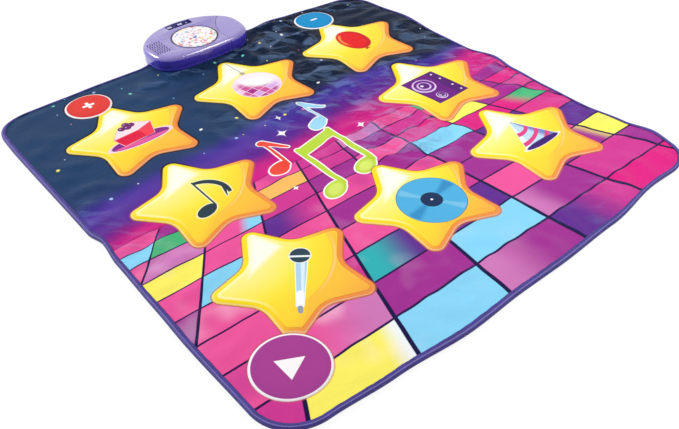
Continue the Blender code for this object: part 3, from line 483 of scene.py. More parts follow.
def settle_sheet():
    """Lets the slack sheet buckle on the foam.

    Returns each grid point's shift from flat, and how slack the cloth is there."""
    slack = [np.full_like(X, SLACK_EVERYWHERE), np.full_like(X, SLACK_EVERYWHERE)]
    for (x, y), (reach_x, reach_y), *more in SLACK_PLACES:
        patch = np.exp(-((X - x) / reach_x) ** 2 - ((Y - y) / reach_y) ** 2)
        for k in (0, 1):
            slack[k] += more[k] * patch
    places = np.stack([X.ravel(), Y.ravel()], 1)
    in_pad = pads_depth(places)[0].reshape(X.shape)
    edge = mat_depth(places).reshape(X.shape)
    console_low, console_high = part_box("console_bottom_case")
    held = PAD_HOLD * np.clip((in_pad + PAD_HOLD_REACH) / HOLD_FADE, 0, 1)
    held = np.maximum(held, EDGE_HOLD * np.clip((EDGE_HOLD_REACH - edge) / HOLD_FADE, 0, 1))
    in_x, in_y = CASE_HOLD_INSETS
    under_case = (np.abs(X) < console_high.x - in_x) & (Y > console_low.y + in_y)
    held = np.maximum(held, 1.0 * under_case)
    for k, seed in ((0, 3), (1, 4)):
        lumps = 1 + SLACK_LUMPS * ripples(SLACK_LUMP_SIZE, seed)
        slack[k] = np.clip(slack[k] * lumps * (1 - held), 0, MOST_SLACK)

    def thread(a, b, k):
        return (cell_x, cell_y)[k] * (1 + (slack[k][a] + slack[k][b]) / 2)
    every = slice(None)
    links = []
    for s in (0, 1):
        a, b = (every, slice(s, columns - 1, 2)), (every, slice(s + 1, columns, 2))
        links.append((a, b, thread(a, b, 0), STRETCH_HOLD))
        a, b = (slice(s, rows - 1, 2), every), (slice(s + 1, rows, 2), every)
        links.append((a, b, thread(a, b, 1), STRETCH_HOLD))
        for one, other in ((slice(0, -1), slice(1, None)), (slice(1, None), slice(0, -1))):
            a, b = (slice(s, rows - 1, 2), one), (slice(s + 1, rows, 2), other)
            links.append((a, b, np.hypot(thread(a, b, 0), thread(a, b, 1)), SHEAR_HOLD))

    flat = np.stack([X, Y, np.zeros_like(X)], -1)
    cloth = flat.copy()
    cloth[..., 2] = START_HEIGHT
    for size, seed in START_LUMPS:
        cloth[..., 2] += START_LUMP_HEIGHT * ripples(size, seed)
    free = 1 - held
    speed = np.zeros_like(cloth)
    for _ in range(SETTLING_STEPS):
        before = cloth.copy()
        cloth += DAMPING * speed * free[..., None]
        cloth[..., 2] -= SINKING
        for a, b, length, hold in links:
            span = cloth[b] - cloth[a]
            reach = np.sqrt((span * span).sum(-1))
            push = span * (hold * (reach - length) / (reach * (free[a] + free[b]) + 1e-9))[..., None]
            cloth[a] += push * free[a][..., None]
            cloth[b] -= push * free[b][..., None]
        cloth[..., 2] -= BENDING * bending(cloth[..., 2]) * free
        np.clip(cloth[..., 2], 0, None, out=cloth[..., 2])
        cloth += (flat - cloth) * (PULL_BACK * held[..., None])
        speed = cloth - before
    return cloth - flat, np.hypot(*slack)[..., None]


def read_grid(values, points):
    """Grid values at flat places, read with a smooth cubic."""
    u = np.clip((points[:, 0] - grid_x[0]) / cell_x, 0, columns - 1.001)
    v = np.clip((points[:, 1] - grid_y[0]) / cell_y, 0, rows - 1.001)
    i, j = u.astype(int), v.astype(int)

    def weights(t):
        return ((-t + 2 * t**2 - t**3) / 2, (2 - 5 * t**2 + 3 * t**3) / 2,
                (t + 4 * t**2 - 3 * t**3) / 2, (-t**2 + t**3) / 2)
    out = np.zeros((len(points), values.shape[-1]))
    for row, row_weight in zip(range(-1, 3), weights(v - j)):
        for column, column_weight in zip(range(-1, 3), weights(u - i)):
            reached = values[np.clip(j + row, 0, rows - 1), np.clip(i + column, 0, columns - 1)]
            out += reached * (row_weight * column_weight)[:, None]
    return out


settled, slackness = settle_sheet()


def wrinkle(points):
    """The settled sheet's shift at flat places. The foam under it lets nothing sink.

    No fold stands in the way of the battery lid, which slides out over the sheet."""
    shift = read_grid(settled, points)
    lid_low, lid_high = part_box("battery_cover")
    middle = np.array([lid_low.x + lid_high.x + LID_TRAVEL, lid_low.y + lid_high.y]) / 2
    half = np.array([lid_high.x - lid_low.x + LID_TRAVEL, lid_high.y - lid_low.y]) / 2
    outside = np.clip(abs(points - middle) - half - LID_ROOM, 0, None).max(1)
    shift[:, 2] = np.clip(shift[:, 2], 0, lid_low.z - SHEET_TOP - LID_ROOM + LID_SLOPE * outside)
    return shift


# The paints
# The whole picture is printed on white satin polyester with thin ink, so every colour shares the
# cloth's weave, its low sheen and its fine creases. A picture is built up in layers, each a colour
# laid on through a mask, and a mask comes from distances measured in the print's own plan.
SOFT_EDGE = 0.0005
SLACK_SHOWS = (0.006, 0.034)  # from hardly creased to fully creased
SATIN_THREAD = 0.0011
WEAVE_DEPTH, CREASE_DEPTH, CRUMPLE_DEPTH = 0.00004, 0.0005, 0.015
CREASES_TURN, CREASES_LONG = 0.66, 2.4  # which way the creases run, and how drawn out they are
FOLD_PAINTED_SHADE = 0.62  # how dark the shade painted into a crease draws it
CREST_PAINTED_HIGHLIGHT = 0.18  # how far the bluish highlight painted on a crease's crest pales it


def ramp(field, start, end, bend="SMOOTHSTEP"):
    """0 up to the start and 1 from the end on, smooth in between or bent as asked."""
    node = add_node(field.socket.id_data, "ShaderNodeMapRange", {
        "Value": field, "From Min": min(start, end), "From Max": max(start, end),
        "To Min": float(start > end), "To Max": float(start < end)}, interpolation_type=bend)
    return Field(node.outputs["Result"])


def within(distance, soft=SOFT_EDGE):
    """1 inside a shape and 0 outside it."""
    return ramp(distance, soft, -soft)


def line_of(distance, width, soft):
    """1 on a line of the given width along a shape's edge."""
    return within(abs(distance) - width / 2, soft)


def parts_of(vector):
    """The three numbers of a vector socket, as fields."""
    return [Field(part) for part in add_node(vector.id_data, "ShaderNodeSeparateXYZ", {0: vector}).outputs]


def vector_of(tree, x, y=0.0, z=0.0):
    return add_node(tree, "ShaderNodeCombineXYZ", {0: x, 1: y, 2: z}).outputs[0]


def noise_at(place, scale, detail=2.0, roughness=0.5, distortion=0.0):
    """A noise field at a vector socket's place, its scale in hills to a metre."""
    node = add_node(place.id_data, "ShaderNodeTexNoise", {
        "Vector": place, "Scale": scale, "Detail": detail, "Roughness": roughness, "Distortion": distortion})
    return Field(node.outputs[0])


def mixed(tree, share, below, cover):
    """Two colours mixed, with a share of the cover."""
    return add_node(tree, "ShaderNodeMix", {0: share, 6: below, 7: cover}, data_type="RGBA").outputs[2]


def surface(shader, colour, roughness, height, strength=1.0):
    """Gives a shader its colour and roughness, and bumps it by a height in metres."""
    bump = add_node(shader.id_data, "ShaderNodeBump", {
        "Distance": 1.0, "Strength": strength, "Height": height})
    feed(shader, {"Base Color": colour, "Roughness": roughness, "Normal": bump.outputs["Normal"]})


class Plan:
    """The print's own plan in metres, about a centre and turned by an angle."""

    def __init__(self, x, y):
        self.x, self.y = x, y

    def about(self, x, y, turn=0.0):
        dx, dy = self.x - x, self.y - y
        if turn == 0.0:
            return Plan(dx, dy)
        c, s = math.cos(math.radians(turn)), math.sin(math.radians(turn))
        return Plan(dx * c + dy * s, dy * c - dx * s)

    def circle(self, radius):
        return figure("SQRT", self.x * self.x + self.y * self.y) - radius

    def oval(self, wide, high):
        """An ellipse of those half sizes. Its distance is true near the edge on the short sides."""
        x, y = self.x / wide, self.y / high
        return (figure("SQRT", x * x + y * y) - 1) * min(wide, high)

    def box(self, wide, high, rounding=0.0):
        x, y = most(abs(self.x) - (wide - rounding), 0), most(abs(self.y) - (high - rounding), 0)
        if rounding:
            return figure("SQRT", x * x + y * y) - rounding
        return most(abs(self.x) - wide, abs(self.y) - high)

    def side(self, start, end):
        """How far a place lies to the right of the line from start to end."""
        run = Vector(end) - Vector(start)
        across = Vector((run.y, -run.x)).normalized()
        return self.x * across.x + self.y * across.y - across.dot(Vector(start))

    def polygon(self, *corners):
        """A convex shape from corners given anticlockwise."""
        return most(*(self.side(a, b) for a, b in zip(corners, corners[1:] + corners[:1])))

    def stroke(self, start, end, start_radius, end_radius):
        """A round-ended bar from start to end that may taper."""
        run = Vector(end) - Vector(start)
        place = self.about(*start, turn=math.degrees(math.atan2(run.y, run.x)))
        share = ramp(place.x, 0.0, run.length, "LINEAR")
        beside = place.x - share * run.length
        reach = figure("SQRT", beside * beside + place.y * place.y)
        return reach - (share * (end_radius - start_radius) + start_radius)


class Print:
    """A picture on one material: a ground colour with more colours laid on it."""

    def __init__(self, name, ground):
        self.material, self.shader = new_material(name)
        self.tree, self.colour = self.material.node_tree, ground
        flat = add_node(self.tree, "ShaderNodeAttribute", attribute_name="print_place")
        x, y, self.rim = parts_of(flat.outputs["Vector"])
        self.plan, self.place = Plan(x, y), vector_of(self.tree, x, y)
        slack = add_node(self.tree, "ShaderNodeAttribute", attribute_name="slackness")
        self.loose = ramp(Field(slack.outputs["Fac"]), *SLACK_SHOWS)
        self.drawn_out = add_node(self.tree, "ShaderNodeMapping", {
            "Vector": self.place, "Rotation": (0, 0, -CREASES_TURN), "Scale": (CREASES_LONG, 1, 1)},
            vector_type="TEXTURE").outputs[0]

    def lay(self, mask, colour):
        """Lays a colour, a plain one or another picture's, on what is there."""
        self.colour = mixed(self.tree, mask, self.colour, colour)

    def noise(self, *looks):
        return noise_at(self.place, *looks)

    def finish(self):
        """Adds the satin cloth's weave, creases and sheen, and returns the material.

        The slacker the cloth is, the deeper its sharp little creases are, the paler the highlight painted on
        their crests and the darker the shade painted in their folds."""
        # A bluish highlight is painted on the creases' crests, in place of the satin's sheen there.
        crest = ramp(noise_at(self.drawn_out, 36.0, 2.5, 0.5, 0.5), 0.48, 0.6) * self.loose
        self.lay(crest * CREST_PAINTED_HIGHLIGHT, ink(160, 198, 255))
        # Shade is painted into the creases' folds as dark lines, stronger on the sky.
        valley = abs(noise_at(self.drawn_out, 24.0, 2.0, 0.45, 0.8) - 0.5)
        painted_fold_shade = ramp(valley, 0.032, 0.006) * self.loose
        self.lay(painted_fold_shade * (ramp(self.plan.y, 0.06, 0.2) * 0.82 + 0.18) * FOLD_PAINTED_SHADE, ink(6, 6, 24))
        threads = 2 * math.pi / SATIN_THREAD
        warp = figure("SINE", self.plan.x * threads) * figure("SINE", self.plan.y * threads)
        fine = self.noise(95.0, 3.0, 0.6)
        folds = abs(self.noise(26.0, 3.0, 0.55) - 0.5)
        crumple = least(abs(noise_at(self.drawn_out, 34.0, 2.0, 0.5, 0.4) - 0.5),
                        abs(self.noise(61.0, 2.0, 0.5) - 0.5))
        height = warp * WEAVE_DEPTH + folds * (-CREASE_DEPTH * 3) + fine * CREASE_DEPTH
        height = height + (crest * 0.15 - crumple) * self.loose * CRUMPLE_DEPTH
        surface(self.shader, self.colour, fine * 0.2 + 0.27, height, 0.8)
        feed(self.shader, {"Specular IOR Level": 0.09, "Specular Tint": (0.3, 0.55, 1.0)})
        return self.material


# Printed top sheet
# One piece of satin polyester, printed with a night sky over a lit dance floor. It is sewn down
# round every pad and into the edge tape, and lies loose on the foam between them.
CLOTH_STEP = 0.0046
CLOTH_THICKNESS = 0.0009
FILM_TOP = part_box("upper_circuit_film")[1].z
SEAM_GAP = 0.0001
SEAM_DIP = 0.0005  # how deep the seam draws the cloth down round a pad
SEAM_REACH = 0.0035
RING_INSETS = (-0.005, -0.002, 0.0018, 0.0042, 0.0075)  # rows of points along a pad's seam
RING_CLEARANCE = 0.0013
BINDING_COVER = 0.004  # the sheet's cut edge ends this far inside the tape
CLAMP_HOLE_RADIUS = 0.004
RIBBON_SLOT_DEPTH = 0.006
RIBBON_ROOM = 0.0006
CROWDED = 0.6  # no inner point comes nearer an outline than this share of a step
DOT_SHIFT = (1.37, 0.71)  # moves the cells of one scatter of dots off those of the next
DOT_SOFTNESS = 0.35
VANISHING_POINT = (0.055, 0.408)  # where the dance floor's long joints would meet
FLOOR_JOINT_TURN = 0.195  # from one long joint to the next, as run over distance to there
FLOOR_JOINT_START = 0.08
FLOOR_SHAKE = 0.042
FLOOR_GATHER = 0.1  # the creased cloth at the right draws the picture together
FLOOR_FAR_Y = -0.0105
FLOOR_ROWS = (0.0228, 0.0165, 0.00314)  # a row's distance from there is a + b n + c n squared
FLOOR_EDGE_ROW = 0.75
TILE_COLOURS = {
    "rose": ink(236, 86, 156), "magenta": ink(206, 58, 146), "cherry": ink(220, 34, 130),
    "plum": ink(160, 48, 144), "violet": ink(98, 46, 142), "orchid": ink(206, 120, 184),
    "sky": ink(136, 212, 246), "snow": ink(240, 248, 255), "lemon": ink(252, 240, 100),
    "leaf": ink(70, 182, 120), "teal": ink(52, 176, 180), "amber": ink(254, 190, 100),
}
# Tiles of a colour of their own, by row and column, and what some of them shade into on their right,
# from one share of the tile's width to another.
TILES = {
    "lemon": ((9, -3), (4, -5), (3, 1), (7, 2)), "sky": ((9, -2), (8, -1), (4, 0), (5, -4), (2, -6)),
    "leaf": ((2, -5), (1, 1)), "amber": ((2, -3),), "magenta": ((3, -3), (8, 1)), "teal": ((7, -2),),
    "violet": ((9, 0), (6, 2), (5, 1), (4, -3), (7, -1)), "orchid": ((3, -5), (1, -1), (9, -1), (8, 0)),
    "plum": ((7, 3), (8, 2), (6, 0), (5, -2), (5, 0), (2, -1), (3, -2), (1, 3), (0, 3), (8, -2), (7, 1)),
    "rose": ((3, -4), (8, -3), (6, -3), (7, -4), (6, -4), (5, -5), (7, 0), (1, 0), (3, -1), (4, -4),
             (6, -2)),
    "cherry": ((8, 3), (9, 1), (9, 2), (2, 3), (4, 2), (0, 0)),
}
TILES_SHADING = {
    (9, -3): ("snow", 0.75, 1.0), (7, -2): ("violet", 0.15, 0.7), (3, -4): ("sky", 0.55, 0.8),
    (9, 0): ("magenta", 0.2, 0.9), (4, 2): ("leaf", 0.2, 0.7), (4, -3): ("magenta", 0.2, 0.9),
    (8, 0): ("plum", 0.05, 0.45), (8, 2): ("cherry", 0.4, 1.0), (9, -1): ("plum", 0.1, 0.7),
    (7, 1): ("lemon", 0.8, 1.1), (8, -3): ("orchid", 0.1, 0.9),
}


def star_dots(picture, size, radius, colours, chance, seed):
    """Scatters small dots, one at most in each cell of the given size."""
    tree = picture.tree
    shifted = add_node(tree, "ShaderNodeVectorMath", {
        0: picture.place, 1: (seed * DOT_SHIFT[0], seed * DOT_SHIFT[1], 0.0)}, operation="ADD")
    cells = add_node(tree, "ShaderNodeTexVoronoi", {"Scale": 1 / size, "Vector": shifted.outputs[0]},
                     voronoi_dimensions="2D")
    luck = add_node(tree, "ShaderNodeSeparateColor", {0: cells.outputs["Color"]})
    chosen = ramp(Field(luck.outputs[1]), 1 - chance, 1 - chance + 0.001)
    shades = add_node(tree, "ShaderNodeValToRGB", {0: luck.outputs[0]})
    shades.color_ramp.interpolation = "CONSTANT"
    while len(shades.color_ramp.elements) < len(colours):
        shades.color_ramp.elements.new(1.0)
    for i, (stop, colour) in enumerate(zip(shades.color_ramp.elements, colours)):
        stop.position = i / len(colours)
        stop.color = (*colour, 1.0)
    spot = within(Field(cells.outputs["Distance"]) * size - radius, radius * DOT_SOFTNESS)
    return spot * chosen, shades.outputs[0]


def lay_by_luck(picture, across, down, shades):
    """Gives each cell of a grid one of the shades, the later ones where the luck is high enough."""
    luck = add_node(picture.tree, "ShaderNodeTexWhiteNoise", {
        "Vector": vector_of(picture.tree, across, down)}, noise_dimensions="2D")
    for start, colour in shades:
        picture.lay(ramp(Field(luck.outputs["Value"]), start, start + 0.001), colour)


class Picture:
    """A picture inside another one's material, to be laid on it through a mask."""

    lay = Print.lay

    def __init__(self, host, ground):
        self.tree, self.colour = host.tree, ground


def floor_tiles(picture):
    """The lit dance floor in perspective: tiles, their glow and their joints.

    Where the cloth is gathered, its folds carry the print a little out of line."""
    shaken = (picture.noise(13.0, 1.5) - 0.5) * picture.loose * FLOOR_SHAKE
    plan = Plan(picture.plan.x + shaken, picture.plan.y - shaken * 0.6)
    distance = FLOOR_FAR_Y - plan.y
    a, b, c = FLOOR_ROWS
    under = most(distance - a, 0) * (4 * c) + b * b
    row = (figure("SQRT", under) - b) / (2 * c)
    to_point = VANISHING_POINT[1] - plan.y
    gathered = most(plan.x - 0.15, 0) * FLOOR_GATHER
    turn = (plan.x + gathered - VANISHING_POINT[0]) / to_point
    column = (turn - FLOOR_JOINT_START) / FLOOR_JOINT_TURN
    row_number, column_number = figure("FLOOR", row), figure("FLOOR", column)
    tiles = Picture(picture, TILE_COLOURS["magenta"])
    lay_by_luck(tiles, row_number, column_number, (
        (0.3, TILE_COLOURS["rose"]), (0.62, TILE_COLOURS["cherry"]), (0.82, TILE_COLOURS["plum"])))
    glow = picture.noise(9.0, 2.0)
    tiles.lay(ramp(glow, 0.5, 0.3) * 0.4, ink(170, 30, 140))
    tiles.lay(ramp(plan.x, 0.25, 0.45) * 0.3, ink(170, 24, 130))

    def tile_at(place):
        return within(most(abs(row_number - place[0]), abs(column_number - place[1])) - 0.5, 0.01)
    for colour, places in TILES.items():
        for place in places:
            tiles.lay(tile_at(place), TILE_COLOURS[colour])
    for place, (colour, start, end) in TILES_SHADING.items():
        tiles.lay(tile_at(place) * ramp(column - place[1], start, end), TILE_COLOURS[colour])
    tiles.lay(ramp(glow, 0.52, 0.76) * ramp(plan.x, 0.15, -0.3) * 0.45, ink(255, 225, 242))
    row_part, column_part = row - row_number, column - column_number
    from_column = (0.5 - abs(column_part - 0.5)) * FLOOR_JOINT_TURN * to_point
    tiles.lay(within(from_column - to_point * 0.004, 0.0007), ink(26, 20, 66))
    row_length = row_number * (2 * c) + (b + c)
    from_row = (0.5 - abs(row_part - 0.5)) * row_length
    tiles.lay(within(from_row - 0.0009 - distance * 0.0024, 0.0006), ink(40, 18, 72))
    return tiles.colour, row


def sheet_print():
    """The sheet's picture: a sky with haze and dots, the dance floor, the notes in the middle."""
    picture = Print("printed_satin", ink(30, 60, 97))
    plan = picture.plan
    drifting = (picture.noise(5.0, 3.0) - 0.5) * 0.09
    slant = plan.y - plan.x * 0.065
    far_right = ramp(plan.x, 0.2, 0.38)
    for share, colour in (
            (ramp(plan.x + drifting, -0.22, 0.16) * 0.9, ink(8, 14, 36)),
            (ramp(plan.y + drifting, 0.14, 0.085) * ramp(plan.x, 0.45, -0.4) * 0.4, ink(52, 56, 112)),
            (ramp(slant + drifting * 0.5 + far_right * 0.062, 0.118, 0.072), ink(66, 46, 150)),
            (ramp(slant + drifting, 0.104, 0.06) * ramp(plan.x, -0.02, -0.14) * 0.5, ink(104, 64, 160)),
            (ramp(slant + drifting + far_right * 0.03, 0.066, 0.014) * 0.7, ink(100, 34, 136)),
            (ramp(slant + drifting * 0.7, 0.022, -0.02), ink(180, 30, 130)),
            (ramp(slant + drifting * 1.2, -0.002, -0.034) * 0.7, ink(214, 34, 132))):
        picture.lay(share, colour)
    dots = (ink(255, 120, 190), ink(250, 250, 255), ink(245, 235, 120), ink(120, 220, 200),
            ink(170, 200, 250))
    for size, radius, chance, seed in ((0.066, 0.0031, 0.4, 1.0), (0.05, 0.0014, 0.34, 2.0)):
        spots, colours = star_dots(picture, size, radius, dots, chance, seed)
        picture.lay(spots * ramp(plan.y, 0.02, 0.07), colours)
    tiles, row = floor_tiles(picture)
    picture.lay(ramp(row, FLOOR_EDGE_ROW, FLOOR_EDGE_ROW + 0.5), tiles)
    lay_notes(picture)
    halo = ramp(plan.y, 0.02, 0.08)
    picture.lay(ramp(picture.rim, -0.0045, -0.001) * halo * 0.8, ink(10, 4, 14))
    picture.lay(ramp(picture.rim, -0.0026, -0.0014) * halo * 0.8, ink(22, 8, 20))
    picture.lay(ramp(picture.rim, -0.0026, -0.001) * ramp(plan.y, 0.08, 0.02) * 0.55, ink(196, 92, 96))
    return picture.finish()


# The middle of the mat carries a plain motif: a pair of beamed notes, two single ones and sparks.
NOTES_AT = (-0.034, -0.064)
LIME, PALE, CORAL, WHITE = ink(186, 216, 62), ink(160, 216, 244), ink(236, 74, 58), ink(255, 252, 250)


def single_note(plan, head_at, size):
    """A note with one flag, its head's middle at a place and its stem as long as the size."""
    here = plan.about(*head_at)
    stem_x = 0.24 * size
    head = here.about(0.0, 0.0, 24.0).oval(0.27 * size, 0.19 * size)
    stem = here.stroke((stem_x, 0.0), (stem_x, size), 0.035 * size, 0.035 * size)
    flag = here.stroke((stem_x, size), (stem_x + 0.38 * size, 0.55 * size), 0.11 * size, 0.03 * size)
    return least(head, stem, flag)


def lay_notes(picture):
    """The motif in the middle, its colours like the rest of the print."""
    plan = picture.plan.about(*NOTES_AT)
    heads = [plan.about(x, y, 24.0).oval(0.024, 0.0165) for x, y in ((-0.052, -0.096), (0.03, -0.078))]
    stems = [plan.stroke((x, y), (x, y + 0.128), 0.0046, 0.0046)
             for x, y in ((-0.031, -0.092), (0.051, -0.074))]
    beam = plan.polygon((-0.035, 0.012), (0.055, 0.032), (0.055, 0.056), (-0.035, 0.036))
    pair = least(*heads, *stems, beam)
    coral, pale = single_note(plan, (-0.088, 0.012), 0.082), single_note(plan, (0.048, 0.078), 0.074)
    for shape, colour in ((pale, PALE), (coral, CORAL), (pair, LIME)):
        picture.lay(within(shape - 0.0024), WHITE)
        picture.lay(within(shape), colour)
    picture.lay(within(least(*heads) + 0.005, 0.004) * 0.6, ink(232, 244, 130))
    for x, y, size in ((-0.02, 0.098, 0.018), (0.104, 0.02, 0.014), (0.004, 0.142, 0.012),
                       (-0.1, -0.05, 0.01)):
        spark = plan.about(x, y)
        near = figure("SQRT", abs(spark.x) + 1e-6) + figure("SQRT", abs(spark.y) + 1e-6)
        picture.lay(ramp(near, math.sqrt(size), math.sqrt(size) * 0.8), WHITE)


def grow_cloth(outlines, loose, step):
    """Fills the mat with triangles that follow every outline. Returns flat points and triangles."""
    points, edges = [], []
    for outline in outlines:
        first, count = len(points), len(outline)
        points += [Vector(p) for p in outline]
        edges += [(first + i, first + (i + 1) % count) for i in range(count)]
    points += [Vector(p) for p in loose]
    xs = np.arange(-MAT_WIDTH / 2, MAT_WIDTH / 2, step)
    ys = np.arange(MAT_Y - MAT_DEPTH / 2, MAT_Y + MAT_DEPTH / 2, step * math.sqrt(3) / 2)
    rows_x, rows_y = np.meshgrid(xs, ys)
    rows_x[1::2] += step / 2
    fill = np.stack([rows_x.ravel(), rows_y.ravel()], 1)
    fill = fill[mat_depth(fill) > BINDING_COVER]
    taken = KDTree(len(points))
    for i, point in enumerate(points):
        taken.insert((*point, 0), i)
    taken.balance()
    points += [Vector(p) for p in fill if taken.find((*p, 0))[2] > CROWDED * step]
    found, _, triangles, _, _, _ = delaunay_2d_cdt(points, edges, [], 0, 1e-7)
    found, triangles = np.array([tuple(p) for p in found]), np.array(triangles)
    a, b, c = (found[triangles[:, k]] for k in range(3))
    turned = (b[:, 0] - a[:, 0]) * (c[:, 1] - a[:, 1]) < (b[:, 1] - a[:, 1]) * (c[:, 0] - a[:, 0])
    triangles[turned] = triangles[turned][:, ::-1]
    return found, triangles


def flat_area(flat, triangles):
    a, b, c = (flat[triangles[:, k]] for k in range(3))
    return float(abs(np.cross(b - a, c - a)).sum() / 2)


def offset_ring(outline, inset):
    """Loose points beside an anticlockwise outline, moved in along its own normal."""
    ahead = np.roll(outline, -1, axis=0) - np.roll(outline, 1, axis=0)
    normal = np.stack([-ahead[:, 1], ahead[:, 0]], 1) / np.linalg.norm(ahead, axis=1)[:, None]
    return outline + normal * inset


def store(piece, name, kind, values):
    """Keeps a vector or a number at each point of a piece's mesh."""
    stored = piece.data.attributes.new(name, kind, "POINT")
    stored.data.foreach_set("value" if kind == "FLOAT" else "vector", np.asarray(values, np.float32).ravel())


def solid_sheet(name, top, bottom, triangles, place, material):
    """A closed piece from an upper and a lower copy of flat triangles, walled all round.

    Its print_place attribute holds the flat place and the depth in from the print's outline."""
    used = np.unique(triangles)
    renumber = np.full(len(top), -1)
    renumber[used] = np.arange(len(used))
    tri, count = renumber[triangles], len(used)
    sides = np.concatenate([tri[:, [0, 1]], tri[:, [1, 2]], tri[:, [2, 0]]]).tolist()
    known = {tuple(side) for side in sides}
    walls = [(b, a, a + count, b + count) for a, b in sides if (b, a) not in known]
    faces = tri.tolist() + (tri[:, ::-1] + count).tolist() + walls
    made = new_piece(name, np.concatenate([top[used], bottom[used]]), faces, material)
    store(made, "print_place", "FLOAT_VECTOR", np.tile(place[used], (2, 1)))
    store(made, "slackness", "FLOAT", np.tile(read_grid(slackness, top[used, :2])[:, 0], 2))
    return made


def raised(flat, z):
    """Flat places with one height."""
    return np.column_stack([flat, np.full(len(flat), z)])


def slot_outlines():
    """The sheet's holes under the console: for the clamp's two bosses and for the ribbon."""
    holes = [middle_of("clamp_screw_" + side) + round_outline(CLAMP_HOLE_RADIUS)
             for side in ("left", "right")]
    low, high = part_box("ribbon_tail")
    centre = ((low.x + high.x) / 2, low.y + RIBBON_SLOT_DEPTH / 2 - 2 * SEAM_GAP)
    x, y = (high.x - low.x) / 2 + RIBBON_ROOM, RIBBON_SLOT_DEPTH / 2
    return holes + [np.array(centre) + np.array([(-x, -y), (x, -y), (x, y), (-x, y)])]


def in_outlines(points, outlines):
    inside = np.zeros(len(points), bool)
    for outline in outlines:
        near = ((points > outline.min(0)) & (points < outline.max(0))).all(1)
        inside[near] |= depth_in(points[near], outline) > 0
    return inside


SLOTS = slot_outlines()
pad_outlines = [facts["outline"] for facts in PADS.values()]
rings = np.concatenate([offset_ring(outline, inset) for outline in pad_outlines for inset in RING_INSETS])
rings = rings[abs(pads_depth(rings)[0]) > RING_CLEARANCE]
sheet_flat, sheet_triangles = grow_cloth(
    [mat_outline(BINDING_COVER, step=0.005), *pad_outlines, *SLOTS], rings, CLOTH_STEP)
middles = sheet_flat[sheet_triangles].mean(1)
pad_of_triangle = pads_depth(middles)[1]
sheet_depth = pads_depth(sheet_flat)[0]
sheet_shift = drift(sheet_flat[:, 0], sheet_flat[:, 1]) + wrinkle(sheet_flat)
seam_dip = SEAM_DIP * np.exp(-(sheet_depth / SEAM_REACH) ** 2)
sheet_top = raised(sheet_flat, SHEET_TOP) + sheet_shift
sheet_top[:, 2] -= seam_dip
sheet_bottom = sheet_top.copy()
sheet_bottom[:, 2] = np.maximum(sheet_top[:, 2] - CLOTH_THICKNESS, FILM_TOP + SEAM_GAP)
in_sheet = (pad_of_triangle < 0) & ~in_outlines(middles, SLOTS)
sheet_place = np.column_stack([sheet_flat, np.clip(sheet_depth, -NEAR_PAD, NEAR_PAD)])
top_sheet = solid_sheet("printed_sheet", sheet_top, sheet_bottom, sheet_triangles[in_sheet],
                        sheet_place, sheet_print())
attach(top_sheet, "mat")
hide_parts("printed_top_sheet")

# Star and round pads
# Each pad is a patch of the printed sheet, moulded into a low cushion over its switch. A thin
# wadding under the patch gives the swelling, which rises fast at the seam and then levels off.
RIM_RISE, RIM_REACH = 0.0012, 0.0075
ROUND_FLATNESS = 0.55  # the round pads swell only this share of a star's height
CROWN_RISE, CROWN_REACH = 0.0018, 0.034
DENT_HEIGHT, DENT_SIZE, DENT_FADE = 0.00035, 0.04, 0.02
PAD_BASE = SHEET_LOW.z
STAR_YELLOW, STAR_AMBER, STAR_ORANGE = ink(255, 234, 60), ink(255, 214, 58), ink(250, 172, 72)
RIM_YELLOW, RIM_ORANGE, RIM_PALE = ink(250, 222, 38), ink(248, 150, 72), ink(255, 228, 195)
RIM_BAND = 0.0085


def swelling(depth):
    """How far a pad stands above the sheet round it, at a depth in from its seam."""
    rim, crown = np.clip(depth / RIM_REACH, 0, 1), np.clip(depth / CROWN_REACH, 0, 1)
    return RIM_RISE * (1 - (1 - rim) ** 2) + CROWN_RISE * (1 - (1 - crown) ** 2)


def star_paint(name):
    """A star's own paint, without its picture: yellow to amber, with a moulded-looking rim and a sheen
    painted on towards the upper left.
    """
    picture = Print(name, STAR_YELLOW)
    plan, rim = picture.plan, picture.rim
    reach = plan.about(-0.05, 0.12).circle(0.0)
    picture.lay(ramp(reach, 0.115, 0.19), STAR_AMBER)
    picture.lay(ramp(reach, 0.185, 0.25) * 0.85, STAR_ORANGE)
    arc = plan.about(-0.03, 0.075).circle(0.128)
    picture.lay(ramp(arc, -0.0008, 0.0008) * ramp(plan.x - plan.y, 0.02, 0.05) * 0.45, STAR_ORANGE)
    picture.lay(line_of(arc - 0.004, 0.003, 0.0015) * ramp(plan.x - plan.y, 0.05, 0.09) * 0.4, RIM_PALE)
    # A painted sheen: a soft pale glow towards the upper left, where the satin catches the light.
    picture.lay(ramp(reach, 0.15, 0.055) * 0.5, ink(255, 254, 206))
    wedge = plan.polygon((0.004, 0.116), (-0.05, 0.04), (0.022, 0.062))
    picture.lay(within(wedge, 0.007) * ramp(rim, 0.007, 0.011) * 0.85, ink(255, 255, 248))
    left_glow = line_of(rim - 0.0115, 0.0035, 0.0016) * ramp(plan.x, 0.01, -0.02)
    picture.lay(left_glow * ramp(plan.y, -0.06, 0.02) * 0.65, ink(255, 253, 205))
    shade = ramp(plan.x * 0.64 - plan.y * 0.77, -0.025, 0.045)
    band = ramp(rim, RIM_BAND + 0.0006, RIM_BAND - 0.0006)
    picture.lay(band, RIM_YELLOW)
    picture.lay(band * shade, RIM_ORANGE)
    picture.lay(line_of(rim - RIM_BAND, 0.0014, 0.0006) * shade * 0.6, ink(214, 118, 40))
    lower_left = ramp(plan.x * -0.7 - plan.y * 0.7, 0.005, 0.045)
    picture.lay(line_of(rim - 0.0022, 0.0022, 0.0007) * lower_left * 0.45, RIM_PALE)
    picture.lay(ramp(rim, 0.0009, 0.0002) * 0.45, ink(176, 84, 40))
    return picture


def shaded(picture, shape, colour, rim_colour=None, rim=0.0022):
    """A flat shape of one colour, with an edge line of another outside it."""
    if rim_colour:
        picture.lay(within(shape - rim), rim_colour)
    picture.lay(within(shape), colour)


